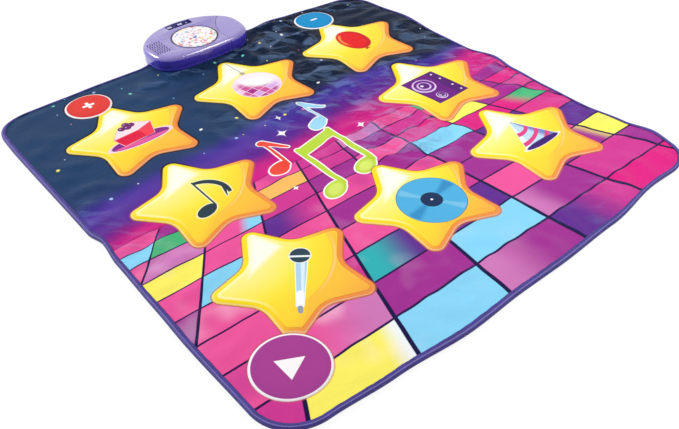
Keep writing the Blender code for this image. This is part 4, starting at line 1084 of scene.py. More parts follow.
def paint_cake(picture):
    plan = picture.plan
    plate = plan.about(0.002, -0.021)
    shaded(picture, plate.oval(0.058, 0.0165), ink(128, 44, 132), ink(250, 215, 225))
    low_plate = most(plate.oval(0.055, 0.015), plan.side((0.06, -0.024), (-0.06, -0.024)))
    shaded(picture, low_plate, ink(232, 92, 160))
    slice_side = plan.polygon((-0.038, 0.006), (-0.03, -0.024), (0.032, -0.018), (0.044, 0.022))
    shaded(picture, slice_side, ink(224, 30, 66), ink(250, 200, 205), 0.0012)
    turned_side = plan.polygon((0.012, 0.01), (0.016, -0.021), (0.032, -0.018), (0.044, 0.022))
    shaded(picture, turned_side, ink(244, 66, 84))
    icing = plan.polygon((-0.038, 0.006), (0.012, 0.009), (0.044, 0.022), (0.016, 0.041), (-0.02, 0.03))
    shaded(picture, icing, ink(255, 226, 232), ink(246, 150, 176), 0.001)
    for x, y in ((-0.01, 0.031), (0.01, 0.034), (0.002, 0.04), (0.001, 0.029)):
        shaded(picture, plan.about(x, y).circle(0.0066), ink(112, 40, 110), ink(70, 20, 80), 0.0008)
        shaded(picture, plan.about(x - 0.002, y + 0.0022).circle(0.0016), ink(215, 160, 215))


def paint_mirror_ball(picture):
    plan = picture.plan
    string = plan.stroke((0.003, 0.11), (0.006, 0.05), 0.0008, 0.0008)
    shaded(picture, string, ink(150, 140, 130))
    shaded(picture, plan.about(0.006, 0.053).box(0.005, 0.005, 0.001), ink(180, 165, 150))
    ball = plan.about(0.007, -0.003, 14.0)
    tiles = Picture(picture, ink(216, 168, 226))
    bent_x = ball.x / figure("SQRT", most(1.0 - ball.y * ball.y / 0.0098, 0.15))
    across, down = bent_x / 0.0185, ball.y / 0.017
    lay_by_luck(tiles, figure("FLOOR", across), figure("FLOOR", down), (
        (0.24, ink(202, 84, 152)), (0.56, ink(168, 38, 132)), (0.84, ink(238, 190, 225))))
    joint = least(*(0.5 - abs(part - figure("FLOOR", part) - 0.5) for part in (across, down)))
    tiles.lay(ramp(joint, 0.05, 0.03), ink(248, 214, 236))
    tiles.lay(ramp(plan.about(0.026, 0.034).circle(0.0), 0.058, 0.04), ink(255, 250, 252))
    tiles.lay(ramp(plan.about(0.000, -0.012).circle(0.0), 0.032, 0.047) * 0.7, ink(252, 232, 244))
    ball_disc = plan.about(0.004, -0.003).circle(0.0478)
    picture.lay(within(ball_disc - 0.0016), ink(250, 225, 235))
    picture.lay(within(ball_disc), tiles.colour)


def paint_balloon(picture):
    plan = picture.plan
    body = plan.about(0.0025, 0.014).oval(0.0325, 0.045)
    knot = plan.polygon((-0.0055, -0.037), (0.0085, -0.037), (0.002, -0.028))
    shaded(picture, least(body, knot), ink(196, 22, 26))
    picture.lay(within(plan.about(-0.001, 0.017).oval(0.0275, 0.04), 0.004), ink(226, 20, 22))
    glow = line_of(plan.about(0.001, 0.016).oval(0.0235, 0.034), 0.0048, 0.0018)
    picture.lay(glow * ramp(plan.x, -0.004, -0.014) * ramp(plan.y, -0.006, 0.012), ink(252, 146, 70))


def paint_microphone(picture):
    plan = picture.plan
    handle = plan.stroke((0.024, 0.012), (-0.03, -0.056), 0.0088, 0.0048)
    shaded(picture, handle, ink(178, 214, 238), ink(250, 252, 252), 0.0014)
    shaded(picture, plan.stroke((0.027, 0.012), (-0.026, -0.056), 0.003, 0.0018), ink(222, 240, 250))
    shaded(picture, plan.stroke((-0.016, -0.038), (-0.031, -0.058), 0.0058, 0.0046), ink(252, 252, 254))
    shaded(picture, plan.stroke((-0.033, -0.06), (-0.037, -0.066), 0.0042, 0.0034), ink(150, 160, 180))
    head = plan.about(0.032, 0.026)
    shaded(picture, head.circle(0.0158), ink(50, 70, 84), ink(250, 252, 252), 0.0014)
    turned = plan.about(0.032, 0.026, -39.0)
    picture.lay(within(most(head.circle(0.0158), abs(turned.y + 0.002) - 0.002)), ink(236, 244, 248))


def paint_record(picture):
    plan = picture.plan.about(0.0075, -0.008)
    shaded(picture, plan.circle(0.0575), ink(84, 178, 224), ink(38, 110, 170), 0.0012)
    reach = plan.circle(0.0)
    grooves = ramp(figure("SINE", reach * (2 * math.pi / 0.0044)), 0.35, 0.95) * ramp(reach, 0.019, 0.022)
    picture.lay(grooves * ramp(reach, 0.0565, 0.0545) * 0.3, ink(56, 142, 198))
    sector = abs(plan.y - plan.x * 0.28)
    picture.lay(within(sector - reach * 0.2, 0.005) * ramp(reach, 0.0565, 0.055) * 0.62, ink(34, 116, 178))
    bright = abs(plan.y + plan.x * 1.6)
    picture.lay(within(bright - reach * 0.26, 0.006) * ramp(reach, 0.0565, 0.055) * 0.28, ink(180, 228, 248))
    shaded(picture, plan.circle(0.0175), ink(30, 50, 86), ink(20, 32, 60), 0.001)
    shaded(picture, plan.circle(0.0022), ink(245, 248, 250))


def paint_party_hat(picture):
    plan = picture.plan
    hat = plan.polygon((0.006, 0.062), (-0.037, -0.02), (0.045, -0.02))
    base = plan.about(0.004, -0.02)
    inside = Picture(picture, ink(190, 220, 240))
    lean = (plan.x - 0.006) / (0.0625 - plan.y)
    inside.lay(ramp(lean, -0.28, -0.42) * 0.8, ink(248, 252, 255))
    inside.lay(ramp(lean, 0.1, 0.34), ink(120, 130, 192))
    droop = plan.y - plan.x * 0.42 + most(0.34 - lean * lean, -0.2) * 0.03
    for y in (0.03, 0.008, -0.014):
        stripe = abs(droop - y) - 0.0042
        inside.lay(within(stripe), ink(222, 70, 132))
    shape = least(hat, base.oval(0.041, 0.0072))
    picture.lay(within(shape - 0.0012), ink(252, 240, 235))
    picture.lay(within(shape), inside.colour)
    shaded(picture, base.oval(0.041, 0.0072), ink(62, 30, 112))


def paint_note(picture):
    plan = picture.plan
    head = plan.about(-0.0165, -0.034, 20.0).oval(0.02, 0.0125)
    stem = plan.stroke((0.0025, -0.03), (0.0025, 0.046), 0.0017, 0.0017)
    outer = most(plan.about(0.000, 0.000).circle(0.046), -1.0 * plan.about(-0.0085, -0.0065).circle(0.046))
    flag = most(outer, plan.side((0.0025, -0.06), (0.0025, 0.06)) * -1.0, -1.0 * plan.y - 0.016)
    tip = plan.stroke((0.04, 0.006), (0.03, -0.022), 0.004, 0.0008)
    shape = least(head, stem, flag, tip)
    shaded(picture, shape, ink(45, 60, 70), ink(255, 250, 205), 0.0016)


def paint_loudspeaker(picture):
    plan = picture.plan.about(-0.009, 0.0)
    box = plan.polygon((-0.042, 0.045), (-0.032, -0.052), (0.047, -0.048), (0.038, 0.045))
    shaded(picture, box, ink(106, 24, 128), ink(62, 20, 84), 0.0016)
    side = plan.polygon((0.019, 0.044), (0.024, -0.049), (0.047, -0.048), (0.038, 0.044))
    shaded(picture, side, ink(84, 26, 108))
    for (x, y), radius in (((-0.012, 0.013), 0.0245), ((-0.008, -0.033), 0.012)):
        cone = plan.about(x, y)
        inner = cone.about(0.001, 0.001)
        shaded(picture, cone.circle(radius), ink(226, 200, 238), ink(70, 20, 90), 0.0008)
        shaded(picture, inner.circle(radius * 0.86), ink(110, 34, 136))
        shaded(picture, cone.circle(radius * 0.6), ink(216, 186, 230))
        shaded(picture, inner.circle(radius * 0.46), ink(88, 26, 116))
        shaded(picture, cone.about(-radius * 0.12, radius * 0.12).circle(radius * 0.14), ink(240, 228, 246))
    for x, y in ((0.03, 0.036), (0.033, 0.014), (0.036, -0.018), (0.038, -0.04)):
        shaded(picture, plan.about(x, y).circle(0.0022), ink(240, 228, 246))


def plus_sign(plan):
    return least(plan.box(0.012, 0.0033, 0.001), plan.box(0.0033, 0.012, 0.001))


def minus_sign(plan):
    return plan.box(0.0085, 0.0026, 0.001)


def play_arrow(plan):
    return plan.polygon((0.019, 0.0), (-0.011, 0.0165), (-0.011, -0.0165)) - 0.0022


ROUND_RIM = 0.0036
STAR_PAINTERS = {
    "cake": paint_cake, "mirror_ball": paint_mirror_ball, "balloon": paint_balloon, "note": paint_note,
    "loudspeaker": paint_loudspeaker, "microphone": paint_microphone, "record": paint_record,
    "party_hat": paint_party_hat,
}
# Each round pad's colour, the darker one near its rim, and the white sign on it.
ROUND_PRINTS = {
    "volume_up": (ink(226, 62, 54), ink(190, 50, 60), plus_sign),
    "volume_down": (ink(0, 142, 200), ink(12, 105, 170), minus_sign),
    "start": (ink(168, 66, 146), ink(150, 60, 140), play_arrow),
}


def pad_print(name):
    if name in STAR_PAINTERS:
        picture = star_paint("star_print_" + name)
        STAR_PAINTERS[name](picture)
        return picture.finish()
    colour, edge_colour, sign = ROUND_PRINTS[name]
    picture = Print(name + "_print", ink(250, 246, 250))
    rim = picture.rim
    picture.lay(ramp(rim, ROUND_RIM - 0.0005, ROUND_RIM + 0.0005), colour)
    picture.lay(ramp(rim, 0.02, ROUND_RIM) * ramp(rim, ROUND_RIM, ROUND_RIM + 0.001) * 0.2, edge_colour)
    picture.lay(within(sign(picture.plan)), ink(252, 248, 250))
    return picture.finish()


depth_in_pad = np.clip(sheet_depth, 0, None)
pad_lift = swelling(depth_in_pad)
pad_lift[pads_depth(sheet_flat)[1] >= len(STAR_NAMES)] *= ROUND_FLATNESS
dents = read_grid(ripples(DENT_SIZE, 11)[..., None], sheet_flat)[:, 0]
pad_lift += DENT_HEIGHT * np.clip(sheet_depth / DENT_FADE, 0, 1) * dents
pad_top = sheet_top + np.column_stack([np.zeros((len(sheet_flat), 2)), pad_lift])
pad_bottom = sheet_top.copy()
pad_bottom[:, 2] = PAD_BASE
for number, (pad_name, facts) in enumerate(PADS.items()):
    own = sheet_triangles[pad_of_triangle == number]
    place = np.column_stack([sheet_flat - facts["middle"], depth_in_pad])
    pad = solid_sheet(pad_name + "_cushion", pad_top, pad_bottom, own, place, pad_print(pad_name))
    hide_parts(facts["node"])
    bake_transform(pad)

# Layers under the printed sheet
# From the floor up: a woven back cloth, a film with printed tracks, a foam spacer that is open under
# every pad, and a second film. They are cut alike and sewn together only at the edge.
LAYER_STEP = 0.016
LAYER_INSET = 0.001
TAPE_RECESS = 0.0113  # the back cloth's underside steps up here to take the tape
TAPE_RECESS_HEIGHT = 0.001
CLAMP_NOTCH_ROOM = 0.0003


def object_place(tree):
    """The socket of a point's place in the piece."""
    return add_node(tree, "ShaderNodeTexCoord").outputs["Object"]


def textile(name, colour, thread, weave, roughness=0.85):
    """Plain woven or foamed goods."""
    made, shader = new_material(name)
    place = object_place(made.node_tree)
    threads = 2 * math.pi / thread
    x, y, _ = parts_of(place)
    warp = figure("SINE", x * threads) * figure("SINE", y * threads)
    mottle = noise_at(place, 60.0, 4.0)
    shades = mixed(made.node_tree, mottle * 0.8 + warp * 0.2, [0.6 * part for part in colour],
                   [min(1.0, 1.35 * part) for part in colour])
    surface(shader, shades, roughness, (warp + mottle * 1.5) * weave)
    return made


def track_film(name):
    """Clear film with silver tracks printed along it."""
    made, shader = new_material(name)
    tree = made.node_tree
    waves = add_node(tree, "ShaderNodeTexWave", {
        "Vector": object_place(tree), "Scale": 18.0, "Distortion": 1.5}, wave_type="BANDS",
        bands_direction="X")
    mask = ramp(Field(waves.outputs["Fac"]), 0.9, 0.93)
    feed(shader, {"Base Color": mixed(tree, mask, ink(214, 220, 216), ink(150, 152, 156)),
                  "Roughness": mask * 0.25 + 0.18})
    return made


clamp_low, clamp_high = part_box("clamp_plate")
clamp_notch = np.array([
    (clamp_low.x - CLAMP_NOTCH_ROOM, clamp_low.y - CLAMP_NOTCH_ROOM),
    (clamp_high.x + CLAMP_NOTCH_ROOM, clamp_low.y - CLAMP_NOTCH_ROOM),
    (clamp_high.x + CLAMP_NOTCH_ROOM, clamp_high.y + CLAMP_NOTCH_ROOM),
    (clamp_low.x - CLAMP_NOTCH_ROOM, clamp_high.y + CLAMP_NOTCH_ROOM),
])
layer_flat, layer_triangles = grow_cloth(
    [mat_outline(LAYER_INSET, step=0.01), mat_outline(TAPE_RECESS, step=0.01), clamp_notch, *SLOTS[:2],
     *(outline[::3] for outline in pad_outlines)], [], LAYER_STEP)
layer_middles = layer_flat[layer_triangles].mean(1)
layer_shift = drift(layer_flat[:, 0], layer_flat[:, 1])
in_pad = pads_depth(layer_middles)[1] >= 0
in_boss = in_outlines(layer_middles, SLOTS[:2])
in_notch = in_outlines(layer_middles, [clamp_notch])
layer_place = np.column_stack([layer_flat, np.zeros(len(layer_flat))])
LAYERS = {
    "back_sheet": ("backing_cloth", ~in_notch, textile("backing_cloth", ink(52, 50, 62), 0.0012, 0.00005)),
    "lower_circuit_film": ("circuit_film", ~in_boss, track_film("lower_film_tracks")),
    "spacer_foam": ("foam", ~in_boss & ~in_pad, textile("spacer_foam", ink(236, 232, 220), 0.0031, 0.0001)),
    "upper_circuit_film": ("circuit_film", ~in_boss & ~in_pad, track_film("upper_film_tracks")),
}
for node, (slot, kept, material) in LAYERS.items():
    low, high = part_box(node)
    top, bottom = (raised(layer_flat, z) + layer_shift for z in (high.z, low.z))
    if node == "back_sheet":
        near_edge = mat_depth(layer_flat) < TAPE_RECESS - 0.5 * LAYER_INSET
        bottom[near_edge, 2] += TAPE_RECESS_HEIGHT
    layer = solid_sheet(node + "_layer", top, bottom, layer_triangles[kept], layer_place, material)
    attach(layer, "mat")
    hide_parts(node)
    if node == "spacer_foam":
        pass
    else:
        flat_area(layer_flat, layer_triangles[kept])

# Edge tape
# A woven tape is folded over the mat's cut edge and sewn through all the layers with one row of
# stitches, which pulls the tape in a little between them, so its inner edge puckers.
TAPE_LEAF = 0.0082
TAPE_THICKNESS = 0.0007
TAPE_STEP = 0.0038
TAPE_EDGE = 0.0018  # how far the fold's rounding reaches
STITCH_INSET = 0.0023  # from the tape's inner edge out to the stitches
STITCH_PITCH = 0.0041
STITCH_LENGTH = 0.0031
STITCH_WIDTH = 0.0006
PUCKER = 0.00035
PUCKER_BLUR = (0.2, 0.6, 0.6, 0.2)
TAPE_GAP = 0.0003  # under the tape's upper leaf
FOLD_ROOM = 0.0004  # between the fold and the layers' cut edge
TAPE_RIB = 0.0013


def tape_material():
    made, shader = new_material("edge_tape")
    tree = made.node_tree
    along = add_node(tree, "ShaderNodeAttribute", attribute_name="tape_place").outputs["Vector"]
    run, inset, _ = parts_of(along)
    rib = figure("SINE", run * (2 * math.pi / TAPE_RIB))
    fleck = noise_at(along, 70.0, 3.0)
    colour = mixed(tree, ramp(fleck + rib * 0.1, 0.3, 0.75), ink(36, 24, 110), ink(58, 44, 142))
    # The tape is painted darker along its inner edge, and the paler line near its rounded outer edge is a
    # painted highlight.
    inner_edge = ramp(inset, TAPE_LEAF - 0.0012, TAPE_LEAF - 0.0002)
    colour = mixed(tree, inner_edge * 0.6, colour, ink(40, 30, 105))
    colour = mixed(tree, line_of(inset - 0.003, 0.0012, 0.0006) * 0.45, colour, ink(158, 142, 216))
    surface(shader, colour, 0.55, rib * 0.00005 + fleck * 0.0004)
    feed(shader, {"Sheen Weight": 0.04, "Sheen Roughness": 0.35})
    return made


edge_path = mat_outline(0.0, TAPE_STEP)
edge_run = np.concatenate([[0], np.cumsum(np.linalg.norm(np.diff(edge_path, axis=0), axis=1))])
fold_draw = np.random.default_rng(21)
pucker_wave = np.convolve(np.tile(fold_draw.normal(size=len(edge_path)), 3), PUCKER_BLUR)
pucker_wave = pucker_wave[len(edge_path):2 * len(edge_path)]


def edge_row(inset, height, on_top, in_loop=0.0):
    """A row of points along the mat's edge, lying on the settled sheet or under the mat."""
    path = offset_ring(edge_path, inset)
    flat_place = offset_ring(edge_path, max(inset, BINDING_COVER if on_top else 0.0))
    shift = drift(path[:, 0], path[:, 1])
    if on_top:
        shift += wrinkle(flat_place)
    row = raised(path, height) + shift
    row[:, 2] += in_loop * PUCKER * pucker_wave
    return row


tape_top = SHEET_TOP + TAPE_GAP + TAPE_THICKNESS
groove = TAPE_LEAF - STITCH_INSET
# The upper leaf's rows: how far in, how far above the tape's plane, and how much they pucker.
upper = [(TAPE_LEAF, 0.0, 1.0), (TAPE_LEAF - 0.0009, 0.00025, 1.0), (groove, -0.00015, 0.3),
         (groove - 0.0012, 0.0002, 0.4), (groove / 2, 0.00035, 0.3), (TAPE_EDGE, 0.0, 0.0)]
fold = [(TAPE_EDGE / 3, tape_top - TAPE_EDGE / 3), (0.0, tape_top - TAPE_EDGE),
        (0.0, TAPE_EDGE), (TAPE_EDGE / 3, TAPE_EDGE / 3)]
lower = [TAPE_EDGE, groove / 2, groove, TAPE_LEAF]
outer_rows = [edge_row(inset, tape_top + rise, True, loose) for inset, rise, loose in upper]
outer_rows += [edge_row(inset, height, height > tape_top / 2) for inset, height in fold]
outer_rows += [edge_row(inset, 0.0, False) for inset in lower]
inner_rows = [edge_row(inset, TAPE_THICKNESS, False) for inset in reversed(lower)]
inner_rows += [edge_row(TAPE_THICKNESS + FOLD_ROOM, height, height > tape_top / 2)
               for height in (TAPE_EDGE, tape_top - TAPE_EDGE)]
inner_rows += [edge_row(inset, tape_top + rise - TAPE_THICKNESS, True, loose)
               for inset, rise, loose in reversed(upper)]
tape_rows = outer_rows + inner_rows
tape_insets = [inset for inset, _, _ in upper] + [inset for inset, _ in fold] + lower
tape_insets += lower[::-1] + [TAPE_THICKNESS] * 2 + [inset for inset, _, _ in reversed(upper)]
count = len(edge_path)
tape_faces = []
for k in range(len(tape_rows)):
    here, there = k * count, (k + 1) % len(tape_rows) * count
    tape_faces += [(here + i, there + i, there + (i + 1) % count, here + (i + 1) % count)
                   for i in range(count)]
tape = new_piece("edge_tape", np.concatenate(tape_rows), tape_faces, tape_material())
store(tape, "tape_place", "FLOAT_VECTOR", [(run, inset, 0.0) for inset in tape_insets for run in edge_run])


def geometry_tree(name, inputs):
    """A new Geometry Nodes tree. Returns it and its named inputs as fields."""
    tree = bpy.data.node_groups.new(name, "GeometryNodeTree")
    for label, kind in {"Geometry": "Geometry", **inputs}.items():
        tree.interface.new_socket(label, in_out="INPUT", socket_type="NodeSocket" + kind)
    tree.interface.new_socket("Geometry", in_out="OUTPUT", socket_type="NodeSocketGeometry")
    given = add_node(tree, "NodeGroupInput")
    return tree, {label: Field(given.outputs[label]) for label in ("Geometry", *inputs)}


def joined(tree, *parts):
    """Geometry sockets joined into one."""
    join = add_node(tree, "GeometryNodeJoinGeometry")
    for part in parts:
        feed(join, {0: part})
    return join.outputs[0]


def stamped(tree, points, shape, **turns):
    """A shape put on each of the points."""
    return add_node(tree, "GeometryNodeInstanceOnPoints", {
        "Points": points, "Instance": shape, **turns}).outputs["Instances"]


def end_tree(tree, given, made):
    """Turns the instances into real faces and gives them the tree's material."""
    real = add_node(tree, "GeometryNodeRealizeInstances", {0: made})
    painted = add_node(tree, "GeometryNodeSetMaterial", {
        "Geometry": real.outputs[0], "Material": given["Material"]})
    add_node(tree, "NodeGroupOutput", {0: painted.outputs[0]})
    return tree


def grow(piece, tree, values):
    """Runs a tree on a piece and keeps the result as its plain mesh."""
    modifier = piece.modifiers.new(tree.name, "NODES")
    modifier.node_group = tree
    for item in tree.interface.items_tree:
        if item.in_out == "INPUT" and item.name in values:
            modifier[item.identifier] = values[item.name]
    keep_mesh(piece)
    return piece


def keep_mesh(piece):
    """Makes what a piece's modifiers give its plain mesh."""
    evaluated = piece.evaluated_get(bpy.context.evaluated_depsgraph_get())
    mesh = bpy.data.meshes.new_from_object(evaluated)
    piece.modifiers.clear()
    piece.data = mesh


def stitch_tree():
    """Thread loops at a steady pitch along a path, each a long thin bead along it."""
    tree, given = geometry_tree("edge_stitches", {
        "Pitch": "Float", "Length": "Float", "Width": "Float", "Material": "Material"})
    path = add_node(tree, "GeometryNodeMeshToCurve", {"Mesh": given["Geometry"]})
    spread = add_node(tree, "GeometryNodeCurveToPoints", {
        "Curve": path.outputs["Curve"], "Length": given["Pitch"]}, mode="LENGTH")
    bead = add_node(tree, "GeometryNodeMeshUVSphere", {"Segments": 6, "Rings": 4, "Radius": 0.5})
    aim = add_node(tree, "FunctionNodeAlignRotationToVector", {"Vector": spread.outputs["Tangent"]}, axis="X")
    size = vector_of(tree, given["Length"], given["Width"], given["Width"])
    return end_tree(tree, given, stamped(
        tree, spread.outputs["Points"], bead.outputs["Mesh"], Rotation=aim.outputs["Rotation"], Scale=size))


stitch_nodes = stitch_tree()
thread_material = textile("sewing_thread", ink(92, 74, 170), 0.0006, 0.00004, 0.6)
stitch_rows = {
    "edge_stitches_top": edge_row(groove, tape_top, True, 0.3),
    "edge_stitches_below": edge_row(groove, STITCH_WIDTH / 2, False),
}
stitches = []
for name, row in stitch_rows.items():
    mesh = bpy.data.meshes.new(name)
    mesh.from_pydata([tuple(map(float, p)) for p in row], [(i, (i + 1) % count) for i in range(count)], [])
    stitches.append(grow(put(name, mesh), stitch_nodes, {
        "Pitch": STITCH_PITCH, "Length": STITCH_LENGTH, "Width": STITCH_WIDTH, "Material": thread_material}))
for piece in (tape, *stitches):
    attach(piece, "mat")
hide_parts("edge_binding")
flat_area(sheet_flat, sheet_triangles[in_sheet])

# Console case
# Two moulded shells of glossy violet plastic stand over the mat's back edge: a tray screwed through
# the mat to its clamp plate, and a cover rounded all round, with the battery lid at its right end.
CONSOLE_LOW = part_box("console_bottom_case")[0]
CASE_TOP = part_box("console_top_case")[1].z
CONSOLE_WIDTH = 0.227
CONSOLE_FRONT_REACH = 0.076
CONSOLE_BACK_REACH = 0.08
CONSOLE_OVERHANG = 0.078
CONSOLE_Y = MAT_HIGH.y + CONSOLE_OVERHANG - CONSOLE_BACK_REACH
FRONT_SQUARENESS, BACK_SQUARENESS = 3.4, 1.9
CASE_WALL = 0.0022
CASE_FILLET = 0.0095
CASE_DRAFT = 0.0015
CASE_RIM = 0.0125
CONSOLE_POINTS = 208
FILLET_STEPS = 9
COVER_PROUD = 0.0004
COVER_GAP = 0.0009
COVER_ARC_AT = (0.163, -0.05)
LABEL_AT = (-0.003, -0.0145)
LABEL_RADIUS = 0.0505
COVER_ARC_RADIUS = math.dist(COVER_ARC_AT, LABEL_AT) - LABEL_RADIUS - 0.0045
LABEL_RECESS = 0.0011
EDGE_SOFTENING = 0.0004
GRILLE_AT = (-0.087, -0.0095)
GRILLE_COLUMNS, GRILLE_ROWS = 6, 10
GRILLE_PITCH = 0.0054
GRILLE_SLOT = (0.0027, 0.0043)
GRILLE_STAGGER = 0.3  # of the pitch, every other row
PANEL_LOW, PANEL_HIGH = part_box("switch_panel")
PANEL_SIZE = (0.06, 0.0245)
NOTCH_X = -0.062  # a decorative groove over the front edge
NOTCH_WIDTH = 0.0014
NOTCH_DEPTH = 0.001
RIM_GROOVE = ((0.002, 0.001), (0.002, -0.0004), (0.0032, -0.0004), (0.0032, 0.001))
TRAY_FLOOR_RISE = 0.0097
JOIN = 0.0003  # how deep joined parts sink into each other
ROOM = 0.0003  # the clear space between two parts that mustn't touch
PAST = 0.001  # how far a cut reaches past a face
PANEL_WELL = 0.009  # how far the panel's window goes down past its face
LABEL_ROOM, TIP_ROOM = 0.0004, 0.0004  # round the label and beyond a screw's tip
BOSS_RADIUS, SCREW_BORE, SCREW_SINK = 0.0034, 0.0016, 0.0031
SLEEVE_RADIUS = 0.0045  # the lid's sleeve round its screw
SCREW_HEAD_RADIUS, SCREW_HEAD_HEIGHT, SCREW_CORE = 0.0027, 0.0016, 0.00095
POST_THICKNESS, POST_HALF_WIDTH = 0.0028, 0.0045


def console_outline(inset, z):
    """The console's plan at a height: nearly square at the front, half an ellipse at the back."""
    turns = np.linspace(0, 2 * math.pi, 1441)
    c, s = np.cos(turns), np.sin(turns)
    power = np.where(s > 0, BACK_SQUARENESS, FRONT_SQUARENESS)
    x = (CONSOLE_WIDTH / 2 - inset) * np.sign(c) * abs(c) ** (2 / power)
    reach = np.where(s > 0, CONSOLE_BACK_REACH, CONSOLE_FRONT_REACH) - inset
    y = reach * np.sign(s) * abs(s) ** (2 / power)
    run = np.concatenate([[0], np.cumsum(np.hypot(np.diff(x), np.diff(y)))])
    places = np.linspace(0, run[-1], CONSOLE_POINTS, endpoint=False)
    return [(px, CONSOLE_Y + py, z) for px, py in zip(np.interp(places, run, x), np.interp(places, run, y))]


def skin(rings, closed=False):
    """A closed bmesh through rings that have the same number of points."""
    bm = bmesh.new()
    loops = [[bm.verts.new(point) for point in ring] for ring in rings]
    for low, high in zip(loops, loops[1:] + loops[:1] if closed else loops[1:]):
        for i in range(len(low)):
            j = (i + 1) % len(low)
            bm.faces.new((low[i], low[j], high[j], high[i]))
    if not closed:
        bm.faces.new(list(reversed(loops[0])))
        bm.faces.new(loops[-1])
    return bm


def solid(name, bm, material=None):
    """An object from a closed bmesh, its faces turned out, its sharp edges kept."""
    bmesh.ops.recalc_face_normals(bm, faces=bm.faces)
    mesh = bpy.data.meshes.new(name)
    bm.to_mesh(mesh)
    bm.free()
    mesh.shade_smooth()
    mesh.set_sharp_from_angle(angle=math.radians(35))
    if material:
        mesh.materials.append(material)
    return put(name, mesh)


def carve(target, bm, operation="DIFFERENCE"):
    """Cuts a bmesh out of a piece, joins it on, or keeps only what both share."""
    tool = solid("carving_tool", bm)
    modifier = target.modifiers.new("carve", "BOOLEAN")
    modifier.operation = operation
    modifier.object = tool
    keep_mesh(target)
    bpy.data.objects.remove(tool)


def soften(piece, width=EDGE_SOFTENING):
    """Rounds a moulding's sharp edges a little."""
    bevel = piece.modifiers.new("soften", "BEVEL")
    bevel.width = width
    bevel.segments = 2
    bevel.limit_method = "ANGLE"
    bevel.angle_limit = math.radians(40)
    bevel.use_clamp_overlap = True
    keep_mesh(piece)
    piece.data.shade_smooth()
    piece.data.set_sharp_from_angle(angle=math.radians(50))


def ring_at(radius, z, centre, steps):
    return [(centre[0] + radius * math.cos(2 * math.pi * i / steps),
             centre[1] + radius * math.sin(2 * math.pi * i / steps), z) for i in range(steps)]


def drum(radius, low, high, centre, steps):
    return skin([ring_at(radius, low, centre, steps), ring_at(radius, high, centre, steps)])


def block(low, high):
    corners = [(low[0], low[1]), (high[0], low[1]), (high[0], high[1]), (low[0], high[1])]
    return skin([[(*corner, z) for corner in corners] for z in (low[2], high[2])])


def on_console(x, y):
    return (x, CONSOLE_Y + y)


def copied(piece):
    """A bmesh copy of a piece's mesh. The piece goes."""
    bm = bmesh.new()
    bm.from_mesh(piece.data)
    bpy.data.objects.remove(piece)
    return bm


def moulded(name, colour, deep_colour, roughness, grain=0.00003):
    """Moulded plastic: a faint mottle in the colour, an orange-peel skin and a little handling wear."""
    made, shader = new_material(name)
    place = object_place(made.node_tree)
    broad, fine, wear = (noise_at(place, *looks) for looks in ((14.0, 2.0), (420.0, 2.0), (45.0, 5.0)))
    shades = mixed(made.node_tree, ramp(broad * 0.7 + wear * 0.3, 0.35, 0.68), deep_colour, colour)
    surface(shader, shades, ramp(wear, 0.4, 0.75) * 0.16 + roughness, fine * grain + broad * 0.0006)
    return made, shader


def painted_over(shader, mask, colour):
    """Lays one more colour on what a shader's base colour already is."""
    below = shader.inputs["Base Color"].links[0].from_socket
    feed(shader, {"Base Color": mixed(shader.id_data, mask, below, colour)})


case_plastic, case_shader = moulded("violet_plastic", ink(140, 124, 196), ink(130, 112, 190), 0.26)
# The plastic is painted lavender on top and a deeper blue-violet below the rounded edge: painted light on the
# top and painted shade on the walls.
case_z = parts_of(object_place(case_plastic.node_tree))[2]
painted_over(case_shader, ramp(case_z, CASE_TOP - 0.0015, CASE_TOP - CASE_FILLET), ink(76, 58, 206))
feed(case_shader, {"Coat Weight": 0.9, "Coat Roughness": 0.1, "Coat IOR": 1.7})


def case_skin(grow_out, ceiling):
    """Rings of the cover's skin from its top down over the rounded edge to its rim."""
    radius = CASE_FILLET + grow_out
    rings = []
    for i in range(FILLET_STEPS + 1):
        t = math.pi / 2 * (1 - i / FILLET_STEPS)
        inset = radius * (1 - math.cos(t)) - grow_out
        rings.append(console_outline(inset, ceiling - radius + radius * math.sin(t)))
    return rings + [console_outline(CASE_DRAFT - grow_out, CASE_RIM)]


def case_shell(grow_out):
    outer = case_skin(grow_out, CASE_TOP + min(grow_out, 0.0))
    inner = case_skin(-CASE_WALL, CASE_TOP - CASE_WALL)
    return skin(outer + inner[::-1])


def cover_region(radius):
    return drum(radius, CASE_RIM - CASE_WALL, CASE_TOP + CASE_WALL, on_console(*COVER_ARC_AT), 360)


def grille_tree():
    """A block of oblong punches, every other row moved aside."""
    tree, given = geometry_tree("grille_punches", {
        "Columns": "Int", "Rows": "Int", "Pitch": "Float", "Slot": "Vector", "Stagger": "Float",
        "Material": "Material"})
    sizes = {}
    for label, axis in (("Columns", "X"), ("Rows", "Y")):
        sizes["Vertices " + axis] = given[label]
        sizes["Size " + axis] = (given[label] - 1) * given["Pitch"]
    grid = add_node(tree, "GeometryNodeMeshGrid", sizes)
    number = Field(add_node(tree, "GeometryNodeInputIndex").outputs[0])
    odd = figure("MODULO", figure("MODULO", number, given["Rows"]), 2.0)
    moved = add_node(tree, "GeometryNodeSetPosition", {
        "Geometry": grid.outputs["Mesh"], "Offset": vector_of(tree, odd * given["Pitch"] * given["Stagger"])})
    punch = add_node(tree, "GeometryNodeMeshCube", {"Size": given["Slot"]})
    return end_tree(tree, given, stamped(tree, moved.outputs[0], punch.outputs["Mesh"]))


def front_of_case(x, inset):
    """Where the front wall stands at an x, moved in by the inset."""
    half_width = CONSOLE_WIDTH / 2 - inset
    along = 1 - abs(x / half_width) ** FRONT_SQUARENESS
    return -(CONSOLE_FRONT_REACH - inset) * along ** (1 / FRONT_SQUARENESS)


